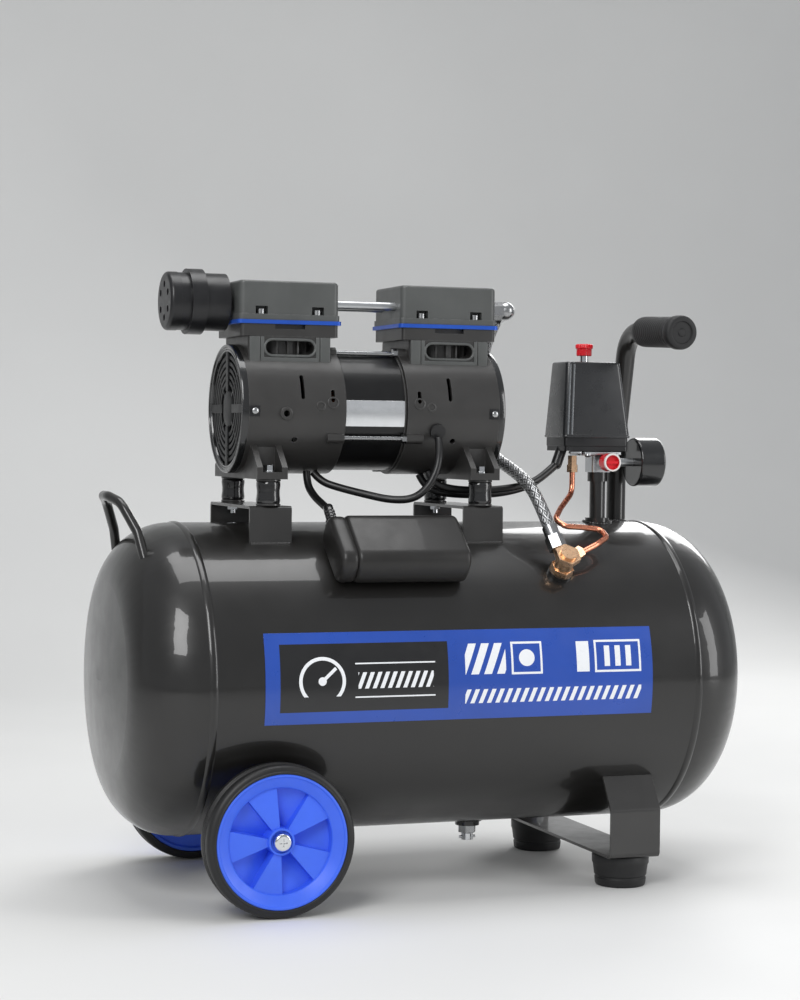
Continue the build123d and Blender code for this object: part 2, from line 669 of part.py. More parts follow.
def cable_gland():
    """The rubber gland in the right crankcase, round the motor's cable."""
    y, z = polar(CASE_R, GLAND_ANGLE)
    inner = Vector(GLAND_U, y * 0.94, z * 0.94)
    outer = Vector(GLAND_U, y * 1.0, z * 1.0)
    out = (outer - inner).normalized()
    gland = rod(GLAND_R, inner, outer) + rod(GLAND_R + 2, outer + out * 0.3, outer + out * 4)
    gland += rod(GLAND_R, outer, outer + out)
    return at_pump(gland)


def stator_core():
    """The laminated stator, with the shell over it."""
    core = pipe(STATOR_R, ROTOR_R + AIR_GAP, (-STATOR_HALF, 0, 0), (STATOR_HALF, 0, 0))
    for turn in range(8):
        y, z = polar(ROTOR_R + 11, turn * 45)
        core -= rod(5, (-STATOR_HALF - 1, y, z), (STATOR_HALF + 1, y, z))
    return at_pump(core)


def stator_windings():
    """The copper windings: a bar in each slot and a ring of end turns at each end."""
    rings = []
    for side in (-1, 1):
        ring = pipe(ROTOR_R + 22, ROTOR_R + 4, (side * STATOR_HALF, 0, 0), (side * (STATOR_HALF + 14), 0, 0))
        rings.append(ring)
    coil = rings[0] + rings[1]
    for turn in range(8):
        y, z = polar(ROTOR_R + 11, turn * 45)
        coil += rod(4.8, (-STATOR_HALF - 1, y, z), (STATOR_HALF + 1, y, z))
    return at_pump(coil)


def rotor_core():
    """The rotor on its shaft."""
    return at_pump(pipe(ROTOR_R, SHAFT_R, (-STATOR_HALF, 0, 0), (STATOR_HALF, 0, 0)))


def motor_shaft():
    """One shaft through both crankcases."""
    reach = FAN_U + 13
    return at_pump(rod(SHAFT_R, (-reach, 0, 0), (reach, 0, 0)))


def shaft_bearings():
    """A ball bearing in each bulkhead."""
    bearings = []
    for side in (-1, 1):
        start, end = side * BULKHEAD_U, side * (BULKHEAD_U + BEARING_WIDTH)
        bearings.append(at_pump(pipe(BEARING_R, SHAFT_R + RUN_FIT, (start, 0, 0), (end, 0, 0))))
    return bearings


def eccentrics():
    """The crank disc and counterweight of each side, set opposite each other."""
    pieces = []
    for side in (-1, 1):
        near, far = CYL_U - ROD_WIDTH / 2, CYL_U + ROD_WIDTH / 2
        disc = rod(CRANK_R, (near, side * THROW, 0), (far, side * THROW, 0))
        disc += rod(SHAFT_R + 3, (near, 0, 0), (far + 2, 0, 0))
        weight = rod(CRANK_R + 2 * THROW - 4, (far + 2, 0, 0), (far + 12, 0, 0))
        near_y, far_y = sorted((side * 3, side * 93))
        weight -= block((far, near_y, -90), (far + 20, far_y, 90))
        weight += rod(SHAFT_R + 3, (far + 2, 0, 0), (far + 12, 0, 0))
        part = disc + weight - rod(SHAFT_R, (0, 0, 0), (CASE_HALF, 0, 0))
        placed = at_pump(part)
        pieces.append(placed if side > 0 else mirrored(placed))
    return pieces


def cooling_fans():
    """A six-bladed fan on each end of the shaft."""
    fans = []
    for side in (-1, 1):
        fan = rod(14, (FAN_U, 0, 0), (FAN_U + 12, 0, 0))
        fan += pipe(FAN_R, FAN_R - 2, (FAN_U + 3, 0, 0), (FAN_U + 9, 0, 0))
        for turn in range(6):
            blade = Pos(FAN_U + 6, 0, (FAN_R + 10) / 2) * Rot(0, 0, 32) * Box(2, 16, FAN_R - 14)
            fan += Rot(turn * 60, 0, 0) * blade
        fan -= rod(SHAFT_R, (0, 0, 0), (CASE_HALF, 0, 0))
        placed = at_pump(fan)
        fans.append(placed if side > 0 else mirrored(placed))
    return fans


def fan_cover():
    """The right end's grille: a rim, a hub, spokes and two thin rings."""
    low, high = CASE_HALF, CASE_HALF + COVER_DEPTH
    cover = pipe(CASE_R, CASE_R - 7, (low, 0, 0), (high, 0, 0))
    cover = fillet(cover.edges().filter_by(GeomType.CIRCLE).sort_by(Axis.X)[-2:], 2)
    cover += rod(15, (high - 4, 0, 0), (high - 0.5, 0, 0))
    for radius in (26, 37, 48):
        cover += pipe(radius + 1.3, radius - 1.3, (high - 4, 0, 0), (high - 1, 0, 0))
    for turn in range(8):
        wide = 8.0 if turn % 2 == 0 else 2.6
        spoke = Pos(high - 2.5, 0, CASE_R / 2) * Box(3, wide, CASE_R - 12)
        cover += Rot(turn * 45, 0, 0) * spoke
    return at_pump(cover)


def cylinders():
    """A ribbed sleeve with its square top flange on each crankcase."""
    pieces = []
    for side in (-1, 1):
        x = PUMP_X + side * CYL_U
        sleeve = rod(BORE_R + SLEEVE_WALL, (x, 0, BLOCK_LOW + 1), (x, 0, FLANGE_LOW))
        for turn in range(20):
            rib = block((BORE_R, -1, BLOCK_LOW + 5), (FIN_R, 1, FLANGE_LOW))
            sleeve += Pos(x, 0, 0) * Rot(0, 0, turn * 18) * rib
        half, wide = HEAD_LONG / 2 - 2, HEAD_WIDE / 2
        flange = block((x - half, -wide, FLANGE_LOW), (x + half, wide, FLANGE_HIGH), 4)
        for y in (-wide, wide):
            flange -= block((x - 16, y - 5, FLANGE_HIGH - 5), (x + 16, y + 5, FLANGE_HIGH + 1))
        pieces.append(sleeve + flange - rod(BORE_R, (x, 0, BLOCK_LOW - 5), (x, 0, FLANGE_HIGH + 5)))
    return pieces


def piston(side):
    """A piston in one piece with its rod, whose big end is a wide ring, and the piston's cup seal."""
    x = PUMP_X + side * CYL_U
    near, far = x - ROD_WIDTH / 2 + 0.5, x + ROD_WIDTH / 2 - 0.5
    ring = pipe(BIG_END_OUT, BIG_END_R, (near, 0, PUMP_Z), (far, 0, PUMP_Z))
    stem = block((near, -7, PUMP_Z + BIG_END_R + 1), (far, 7, PISTON_TOP - 5))
    crown = rod(BORE_R - 0.8, (x, 0, PISTON_TOP - 7), (x, 0, PISTON_TOP))
    return [ring + stem + crown - cup_ring(x, BORE_R + 1), cup_ring(x, BORE_R - RUN_FIT)]


def cup_ring(x, outer):
    """The room for a piston's cup seal, or the seal itself at its own radius."""
    top = PISTON_TOP - 2
    return pipe(outer, BORE_R - 4, (x, 0, top - CUP_SEAL_HIGH), (x, 0, top))


def valve_plates():
    """The valve plate of each cylinder, with its ports and screw holes."""
    plates = []
    for side in (-1, 1):
        x = PUMP_X + side * CYL_U
        half, wide = HEAD_LONG / 2 + 1.5, HEAD_WIDE / 2 + 1.5
        plate = block((x - half, -wide, PLATE_LOW), (x + half, wide, COVER_LOW), 5)
        for shift in (-15, 15):
            for y in (-8, 0, 8):
                plate -= rod(2.5, (x + shift, y, PLATE_LOW - 1), (x + shift, y, COVER_LOW + 1))
        for place in screw_places(x):
            plate -= rod(2.5, (*place, PLATE_LOW - 1), (*place, COVER_LOW + 1))
        plates.append(plate)
    return plates


def screw_places(x):
    """The x and y of the four screws round one head."""
    return [(x + dx, y) for dx in (-30, 30) for y in (-38.5, 38.5)]


def head_cover(side):
    """A head cover: a lip, a two-chamber box, screw notches and its side holes."""
    x = PUMP_X + side * CYL_U
    half, wide = HEAD_LONG / 2, HEAD_WIDE / 2
    lip_top = COVER_LOW + LIP_HEIGHT
    lip = block((x - half, -wide, COVER_LOW), (x + half, wide, lip_top), 5)
    box = block((x - half + 1, -wide + 1, lip_top), (x + half - 1, wide - 1, HEAD_HIGH), 6)
    box = fillet(box.edges().group_by(Axis.Z)[-1], 3)
    cover = lip + box
    for low_x, high_x in ((x - half + HEAD_WALL + 1, x - 2), (x + 2, x + half - HEAD_WALL - 1)):
        cover -= block((low_x, -wide + 15, COVER_LOW - 1), (high_x, wide - 15, HEAD_HIGH - HEAD_WALL))
    for px, py in screw_places(x):
        outside = 8 if py > 0 else -8
        low_y, high_y = sorted((py - outside * 0.55, py + outside * 1.5))
        cover -= block((px - 6.5, low_y, lip_top), (px + 6.5, high_y, lip_top + 8))
        cover -= rod(2.5, (px, py, COVER_LOW - 1), (px, py, lip_top + 1))
    for y in (-TRANSFER_Y, TRANSFER_Y):
        cover -= rod(TRANSFER_R, (x - side * (half - 12), y, TUBE_Z), (x - side * (half + 5), y, TUBE_Z))
    port = INTAKE_R if side < 0 else OUTLET_R
    return cover - rod(port, (x + side * (half - 14), 0, TUBE_Z), (x + side * (half + 5), 0, TUBE_Z))


def cap_screws():
    """The screws down through each head and into its cylinder flange's corners."""
    screws = []
    top = COVER_LOW + LIP_HEIGHT
    for side in (-1, 1):
        for px, py in screw_places(PUMP_X + side * CYL_U):
            head = rod(4.2, (px, py, top), (px, py, top + 5))
            head -= Pos(px, py, top + 5) * extrude(RegularPolygon(2, 6), amount=-3)
            screws.append(head + rod(2.5, (px, py, PLATE_LOW), (px, py, top)))
    return screws


def tie_bolts():
    """The four long bolts that clamp the crankcases to the stator, each with a nut."""
    bolts = []
    for angle in TIE_ANGLES:
        y, z = polar(TIE_RADIUS, angle)
        bolts.append(at_pump(rod(TIE_BOLT_R, (-STATOR_HALF - 13, y, z), (STATOR_HALF + 13, y, z))))
        nut_y, nut_z = y * 1.015, z * 1.015
        nut = hex_bar(8, (STATOR_HALF - 5, nut_y, nut_z), (STATOR_HALF, nut_y, nut_z))
        nut -= rod(TIE_BOLT_R, (-60, y, z), (60, y, z)) + rod(STATOR_R, (-60, 0, 0), (60, 0, 0))
        bolts.append(at_pump(nut))
    return bolts


def transfer_tubes():
    """The two tubes between the heads."""
    reach = CYL_U - HEAD_LONG / 2 + 10
    return [
        pipe(TRANSFER_R, TRANSFER_R - 1.2, (PUMP_X - reach, y, TUBE_Z), (PUMP_X + reach, y, TUBE_Z))
        for y in (-TRANSFER_Y, TRANSFER_Y)
    ]


def intake_filter():
    """The intake filter's housing on the left head: neck, body and a lugged collar."""
    body = rod(FILTER_R, (FILTER_X - 5, 0, TUBE_Z), (FILTER_SEAM, 0, TUBE_Z))
    body += rod(FILTER_R + 4, (FILTER_X - 30, 0, TUBE_Z), (FILTER_X - 46, 0, TUBE_Z))
    body -= rod(FILTER_R - 3, (FILTER_X - 8, 0, TUBE_Z), (FILTER_SEAM - 1, 0, TUBE_Z))
    body += rod(INTAKE_R, (FILTER_X + 12, 0, TUBE_Z), (FILTER_X - 6, 0, TUBE_Z))
    return body - rod(INTAKE_R - 2, (FILTER_X + 13, 0, TUBE_Z), (FILTER_X - 9, 0, TUBE_Z))


def filter_cap():
    """The filter's end cap, with its inlet openings."""
    cap = rod(FILTER_R + 0.5, (FILTER_SEAM, 0, TUBE_Z), (FILTER_SEAM - 12, 0, TUBE_Z))
    cap = fillet(cap.edges().sort_by(Axis.X)[0], 4)
    for turn in range(6):
        y, z = polar(17, turn * 60)
        cap -= rod(3.5, (FILTER_SEAM + 1, y, TUBE_Z + z), (FILTER_SEAM - 20, y, TUBE_Z + z))
    return cap


def discharge_elbow():
    """The elbow on the right head, turned to the back, with its nipple."""
    start = PUMP_X + CYL_U + HEAD_LONG / 2 - 12
    x, y, z = HOSE_ROUTE[0]
    after = Vector(HOSE_ROUTE[1]) - Vector(HOSE_ROUTE[0])
    out = after.normalized()
    centre = Vector(x, y, z) - out * 24
    elbow = rod(OUTLET_R, (start, 0, TUBE_Z), (PUMP_X + CYL_U + HEAD_LONG / 2, 0, TUBE_Z))
    elbow += hex_bar(17, (PUMP_X + CYL_U + HEAD_LONG / 2, 0, TUBE_Z), (centre.X - 4, 0, TUBE_Z))
    elbow += Pos(centre.X, 0, TUBE_Z) * Sphere(10)
    return elbow + rod(8, (centre.X, 0, TUBE_Z), Vector(x, y, z) - out * 14)


def hose_points():
    """The hose's route, ending in line with the check valve's port."""
    end = VALVE_MID + HOSE_PORT * 44
    return HOSE_ROUTE + [tuple(end)]


def discharge_hose():
    """The braided hose from the right head to the check valve."""
    return cord("discharge_hose", hose_points(), HOSE_R)


def hose_fittings():
    """The crimped ferrule and swivel nut at each end of the hose."""
    first, second = Vector(HOSE_ROUTE[0]), Vector(HOSE_ROUTE[1])
    out = (second - first).normalized()
    end = Vector(hose_points()[-1])
    upper = hex_bar(17, first - out * 14, first - out * 2) + rod(7.5, first - out * 2, first)
    lower = hex_bar(17, end - HOSE_PORT * 27, end - HOSE_PORT * 12) + rod(8, end - HOSE_PORT * 12, end)
    return [upper, lower]


# Switch, manifold and gauge -----------------------------------------------------------------------

def boot(route, wall):
    """The boot that takes the end of a cable into a wall, from the route's end to a point past the wall."""
    end = Vector(route[-1])
    along = (end - Vector(route[-2])).normalized()
    sleeve = rod(BOOT_R, end, wall) + Pos(*end) * Sphere(BOOT_R)
    return sleeve - rod(CABLE_R + RUN_FIT, end - along * 2 * BOOT_R, end)


def switch_base():
    """The pressure switch's base, with its diaphragm housing, and the boots of its two cables."""
    x, y = SWITCH_X, SWITCH_Y
    base = block((x - SWITCH_LONG / 2 + 3, y - SWITCH_DEEP / 2 + 3, SWITCH_LOW - 8),
                 (x + SWITCH_LONG / 2 - 3, y + SWITCH_DEEP / 2 - 3, SWITCH_LOW), 4)
    under = MANIFOLD_Z + MANIFOLD_HALF
    base += block((RISER_X - 26, y - 20, under), (RISER_X + 20, y + 20, SWITCH_LOW - 8), 4)
    for route in SWITCH_LEAD_ROUTES:
        lean = Vector(7, 2, 17).normalized()
        base += boot(route, Vector(route[-1]) + lean * SWITCH_BOOT_REACH)
    return base


def switch_cover():
    """The switch's cover: a deep box, open at the bottom, with the knob's hole."""
    x, y = SWITCH_X, SWITCH_Y
    low = (x - SWITCH_LONG / 2, y - SWITCH_DEEP / 2, SWITCH_LOW)
    high = (x + SWITCH_LONG / 2, y + SWITCH_DEEP / 2, SWITCH_HIGH)
    cover = block(low, high, 6)
    cover = fillet(cover.edges().group_by(Axis.Z)[-1], 3)
    room_low = (low[0] + SWITCH_WALL, low[1] + SWITCH_WALL, SWITCH_LOW - 1)
    room_high = (high[0] - SWITCH_WALL, high[1] - SWITCH_WALL, SWITCH_HIGH - SWITCH_WALL)
    cover -= block(room_low, room_high, 3)
    return cover - rod(KNOB_STEM_R + RUN_FIT, (KNOB_X, y, SWITCH_HIGH - 10), (KNOB_X, y, SWITCH_HIGH + 5))


def switch_knob():
    """The red knob that is pulled up to run and pushed down to stop."""
    low = SWITCH_HIGH + KNOB_TRAVEL + 0.6
    knob = rod(KNOB_R, (KNOB_X, SWITCH_Y, low), (KNOB_X, SWITCH_Y, low + 13))
    knob = fillet(knob.edges().filter_by(GeomType.CIRCLE), 1)
    return knob + rod(KNOB_STEM_R, (KNOB_X, SWITCH_Y, SWITCH_HIGH - 14), (KNOB_X, SWITCH_Y, low))


def manifold():
    """The die-cast manifold between riser and switch, with its ports and the unloader's nuts."""
    x, y, z, half = RISER_X, SWITCH_Y, MANIFOLD_Z, MANIFOLD_HALF
    body = block((x - half, y - half, z - half), (x + half, y + half, z + half - 3), 3)
    body += block((x - 28, y - 14, z + half - 4), (x + 20, y + 14, z + half), 3)
    body += rod(8, (x, y - half, z), (x, y - half - 12, z))
    body += hex_bar(14, (x + half, y, z), (x + half + 10, y, z))
    body += rod(4.5, (x + half + 10, y, z), (GAUGE_X, y, z))
    return body - rod(OUTLET_BORE, (x, y - half - 13, z), (x, y, z))


def unloader_valve():
    """The brass unloader under the switch, with the tube's nut."""
    px, py, pz = COPPER_ROUTE[0]
    stem = hex_bar(9, (px, py, pz + 8), (px, py, MANIFOLD_Z + MANIFOLD_HALF - 4.1))
    return stem + hex_bar(11, (px, py, pz), (px, py, pz + 8))


def outlet_knob():
    """The red knob of the outlet valve, turning on the manifold's front boss."""
    y = SWITCH_Y - MANIFOLD_HALF - 12.4
    knob = rod(OUTLET_KNOB_R, (RISER_X, y, MANIFOLD_Z), (RISER_X, y - 15, MANIFOLD_Z))
    knob = fillet(knob.edges().filter_by(GeomType.CIRCLE), 1)
    knob -= rod(7.4, (RISER_X, y - 11.5, MANIFOLD_Z), (RISER_X, y - 16, MANIFOLD_Z))
    knob += Pos(RISER_X, y - 12.5, MANIFOLD_Z) * Box(14.4, 3, 3)
    return knob + rod(OUTLET_BORE - RUN_FIT, (RISER_X, y, MANIFOLD_Z), (RISER_X, y + 10, MANIFOLD_Z))


def gauge_case():
    """The gauge's drum, open at the dial, with a rolled bezel."""
    y, z = SWITCH_Y, MANIFOLD_Z
    case = rod(GAUGE_R, (GAUGE_X, y, z), (GAUGE_X + GAUGE_DEEP, y, z))
    case = fillet(case.edges().filter_by(GeomType.CIRCLE), 2.5)
    return case - rod(GAUGE_R - GAUGE_WALL, (GAUGE_X + 21, y, z), (GAUGE_X + GAUGE_DEEP + 1, y, z))


def gauge_dial():
    """The dial plate and its pointer."""
    y, z = SWITCH_Y, MANIFOLD_Z
    dial = rod(GAUGE_R - GAUGE_WALL, (GAUGE_X + 21, y, z), (GAUGE_X + 22.5, y, z))
    pointer = Pos(GAUGE_X + 23.6, y, z) * Rot(40, 0, 0) * Pos(0, 0, 6) * Box(0.8, 1.6, 20)
    pointer += rod(2.2, (GAUGE_X + 22.5, y, z), (GAUGE_X + 24.2, y, z))
    return dial + pointer


def gauge_lens():
    """The clear lens in the bezel."""
    y, z = SWITCH_Y, MANIFOLD_Z
    return rod(GAUGE_R - GAUGE_WALL, (GAUGE_X + 25.5, y, z), (GAUGE_X + 27.5, y, z))


# Electrics ----------------------------------------------------------------------------------------

def box_frame():
    """The capacitor box's own frame: lying on the shell's upper front, tilted with it."""
    out = Vector(0, -sin(radians(BOX_TILT)), cos(radians(BOX_TILT)))
    middle = Vector((BOX_LOW_X + BOX_HIGH_X) / 2, 0, TANK_Z) + out * (TANK_R + BOX_LIFT)
    return Plane(origin=middle, x_dir=(1, 0, 0), z_dir=out)


def capacitor_box():
    """The rounded box for the run capacitor, on the shell."""
    long = BOX_HIGH_X - BOX_LOW_X
    outer = fillet(Box(long, BOX_DEEP, BOX_HIGH).edges().filter_by(Axis.X), BOX_ROUND)
    outer = fillet(outer.edges().filter_by(GeomType.CIRCLE), 5)
    room = Box(long - 2 * BOX_WALL, BOX_DEEP - 2 * BOX_WALL, BOX_HIGH - 2 * BOX_WALL)
    room = fillet(room.edges().filter_by(Axis.X), BOX_ROUND - BOX_WALL)
    end = Vector(LEAD_ROUTE[-1])
    centre = Vector(end.X, box_frame().origin.Y, box_frame().origin.Z)
    entry = boot(LEAD_ROUTE, end + (centre - end).normalized() * BOX_BOOT_REACH)
    return box_frame() * (outer - room) - tank_solid() + entry


def capacitor():
    """The run capacitor inside its box."""
    return box_frame() * Rot(0, 90, 0) * Cylinder(CAPACITOR_R, CAPACITOR_LONG)


def motor_leads():
    """The two cables at the motor: one into the capacitor box and one into the gland."""
    return [cord("motor_lead", LEAD_ROUTE, CABLE_R), cord("gland_lead", GROMMET_ROUTE, CABLE_R)]


def switch_leads():
    """The two cables from the pump to the switch."""
    return [cord("switch_lead", route, CABLE_R) for route in SWITCH_LEAD_ROUTES]


# Assembly -----------------------------------------------------------------------------------------

def nodes():
    """Every node by name: a solid, or a list of solids."""
    right_head = tank_head()
    right_cover = fan_cover()
    return {
        "tank_shell": tank_shell(),
        "left_tank_head": mirror(right_head, about=Plane.YZ),
        "right_tank_head": right_head,
        "tank_bosses": tank_bosses(),
        "riser_pipe": riser_pipe(),
        "carry_handle": carry_handle(),
        "pull_handle": pull_handle(),
        "handle_grip": handle_grip(),
        "wheel_bracket": wheel_brackets(),
        "chassis_bolts": axle_bolt(-1) + axle_bolt(1) + foot_screws(),
        "front_rim": wheel_rim(-1),
        "rear_rim": wheel_rim(1),
        "front_tyre": wheel_tyre(-1),
        "rear_tyre": wheel_tyre(1),
        "foot_bracket": foot_bracket(),
        "rubber_feet": rubber_feet(),
        "drain_body": drain_body(),
        "drain_screw": drain_screw(),
        "check_valve": check_valve(),
        "unloader_tube": unloader_tube(),
        "unloader_valve": unloader_valve(),
        "pump_brackets": [pump_bracket(-1), pump_bracket(1)],
        "rubber_mounts": rubber_mounts(),
        "mount_bolts": mount_bolts(),
        "left_crankcase": left_crankcase(),
        "right_crankcase": right_crankcase(),
        "stator_core": stator_core(),
        "stator_windings": stator_windings(),
        "rotor_core": rotor_core(),
        "motor_shaft": motor_shaft(),
        "shaft_bearings": shaft_bearings(),
        "eccentrics": eccentrics(),
        "cooling_fans": cooling_fans(),
        "fan_covers": [mirrored(right_cover), right_cover],
        "cylinders": cylinders(),
        "left_piston": piston(-1),
        "right_piston": piston(1),
        "valve_plates": valve_plates(),
        "left_head_cover": head_cover(-1),
        "right_head_cover": head_cover(1),
        "cap_screws": cap_screws(),
        "tie_bolts": tie_bolts(),
        "transfer_tubes": transfer_tubes(),
        "intake_filter": intake_filter(),
        "filter_cap": filter_cap(),
        "discharge_hose": discharge_hose(),
        "hose_fittings": [discharge_elbow()] + hose_fittings(),
        "switch_base": switch_base(),
        "switch_cover": switch_cover(),
        "switch_knob": switch_knob(),
        "manifold": manifold(),
        "outlet_knob": outlet_knob(),
        "gauge_case": gauge_case(),
        "gauge_dial": gauge_dial(),
        "gauge_lens": gauge_lens(),
        "capacitor_box": capacitor_box(),
        "capacitor": capacitor(),
        "motor_leads": motor_leads(),
        "switch_leads": switch_leads(),
        "cable_gland": cable_gland(),
    }


def main():
    """Writes one STEP file for each node."""
    os.makedirs("parts", exist_ok=True)
    for name, shape in nodes().items():
        solids = [s for item in (shape if isinstance(shape, list) else [shape]) for s in item.solids()]
        whole = solids[0] if len(solids) == 1 else Compound(children=solids)
        export_step(whole, f"parts/{name}.step")


main()
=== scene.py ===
"""The looks of a 50 litre oil-free air compressor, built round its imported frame."""

import json
import logging
import math
from dataclasses import dataclass
from enum import Enum
from typing import Any, Iterable, Sequence

import bmesh
import bpy
from mathutils import Matrix, Vector


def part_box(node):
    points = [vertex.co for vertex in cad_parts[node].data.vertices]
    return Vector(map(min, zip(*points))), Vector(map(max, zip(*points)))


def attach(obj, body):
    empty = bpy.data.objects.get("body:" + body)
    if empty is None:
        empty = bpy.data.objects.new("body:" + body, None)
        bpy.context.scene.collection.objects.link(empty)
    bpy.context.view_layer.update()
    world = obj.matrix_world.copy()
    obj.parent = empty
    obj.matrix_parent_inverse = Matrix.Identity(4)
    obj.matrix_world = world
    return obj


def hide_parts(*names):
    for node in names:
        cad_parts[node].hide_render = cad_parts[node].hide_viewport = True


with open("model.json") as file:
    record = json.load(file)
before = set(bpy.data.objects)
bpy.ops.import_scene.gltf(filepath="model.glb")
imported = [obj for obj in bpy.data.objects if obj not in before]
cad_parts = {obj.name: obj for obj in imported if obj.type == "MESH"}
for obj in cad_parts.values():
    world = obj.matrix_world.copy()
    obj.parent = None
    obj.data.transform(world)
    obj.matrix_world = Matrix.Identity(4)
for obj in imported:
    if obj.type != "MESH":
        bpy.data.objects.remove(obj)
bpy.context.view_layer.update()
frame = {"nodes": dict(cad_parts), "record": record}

LOG = logging.getLogger("compressor")
MM = 0.001
Colour = tuple[float, float, float]
Point = tuple[float, float, float]


def paint(red: int, green: int, blue: int) -> Colour:
    """A colour from the three numbers of a paint chart.

    Args:
        red: The red, from 0 to 255.
        green: The green, from 0 to 255.
        blue: The blue, from 0 to 255.

    Returns:
        The same colour in linear light.
    """
    shares = (channel / 255 for channel in (red, green, blue))
    return tuple(s / 12.92 if s <= 0.04045 else ((s + 0.055) / 1.055) ** 2.4 for s in shares)


def mm(*lengths: float) -> Vector:
    """A point given in millimetres, as a vector in metres."""
    return Vector(lengths) * MM


def turn(angle: float) -> tuple[float, float]:
    """The cosine and sine of an angle in radians."""
    return math.cos(angle), math.sin(angle)


def framed(first: Vector, second: Vector, third: Vector, place: Iterable[float]) -> Matrix:
    """A frame that stands at a place with its own three axes.

    Args:
        first: The frame's X axis.
        second: Its Y axis.
        third: Its Z axis.
        place: Its origin.

    Returns:
        The frame.
    """
    made = Matrix((first, second, third)).transposed().to_4x4()
    made.translation = Vector(place)
    return made


def linked(name: str, data: bpy.types.ID) -> bpy.types.Object:
    """A new object in the scene that shows a mesh, curve, light or camera.

    Args:
        name: The object's name.
        data: What it shows.

    Returns:
        The object.
    """
    made = bpy.data.objects.new(name, data)
    bpy.context.scene.collection.objects.link(made)
    return made


class Socket:
    """One output of a node, with arithmetic that adds Math nodes to its tree."""

    def __init__(self, tree: "Tree", socket: bpy.types.NodeSocket) -> None:
        """Wraps an output socket.

        Args:
            tree: The tree that the socket is in.
            socket: The output socket.
        """
        self.tree = tree
        self.socket = socket

    def out(self, name: str) -> "Socket":
        """Another output of the same node, by its name."""
        return Socket(self.tree, self.socket.node.outputs[name])

    def math(self, operation: str, *others: "Socket | float") -> "Socket":
        """This value through a Math node.

        Args:
            operation: The Math node's operation.
            others: Its other operands.

        Returns:
            The result.
        """
        return self.tree.math(operation, self, *others)

    def __add__(self, other: "Socket | float") -> "Socket":
        """Adds."""
        return self.math("ADD", other)

    def __radd__(self, other: float) -> "Socket":
        """Adds to a number."""
        return self.math("ADD", other)

    def __sub__(self, other: "Socket | float") -> "Socket":
        """Subtracts."""
        return self.math("SUBTRACT", other)

    def __rsub__(self, other: float) -> "Socket":
        """Subtracts from a number."""
        return self.tree.math("SUBTRACT", other, self)

    def __mul__(self, other: "Socket | float") -> "Socket":
        """Multiplies."""
        return self.math("MULTIPLY", other)

    def __rmul__(self, other: float) -> "Socket":
        """Multiplies a number."""
        return self.math("MULTIPLY", other)

    def __truediv__(self, other: "Socket | float") -> "Socket":
        """Divides."""
        return self.math("DIVIDE", other)

    def __rtruediv__(self, other: float) -> "Socket":
        """Divides a number."""
        return self.tree.math("DIVIDE", other, self)

    def __gt__(self, other: "Socket | float") -> "Socket":
        """1 where this is the greater, else 0."""
        return self.math("GREATER_THAN", other)

    def __lt__(self, other: "Socket | float") -> "Socket":
        """1 where this is the smaller, else 0."""
        return self.math("LESS_THAN", other)

    def between(self, low: float, high: float) -> "Socket":
        """1 where this lies between two numbers, else 0."""
        return (self > low) * (self < high)

    def ramp(self, low: float, high: float) -> "Socket":
        """This value stretched so that low gives 0 and high gives 1.

        Args:
            low: The value that gives 0.
            high: The value that gives 1.

        Returns:
            The stretched value, held between 0 and 1.
        """
        return self.tree.node(
            "ShaderNodeMapRange", {"clamp": True},
            {"Value": self, "From Min": low, "From Max": high},
        )


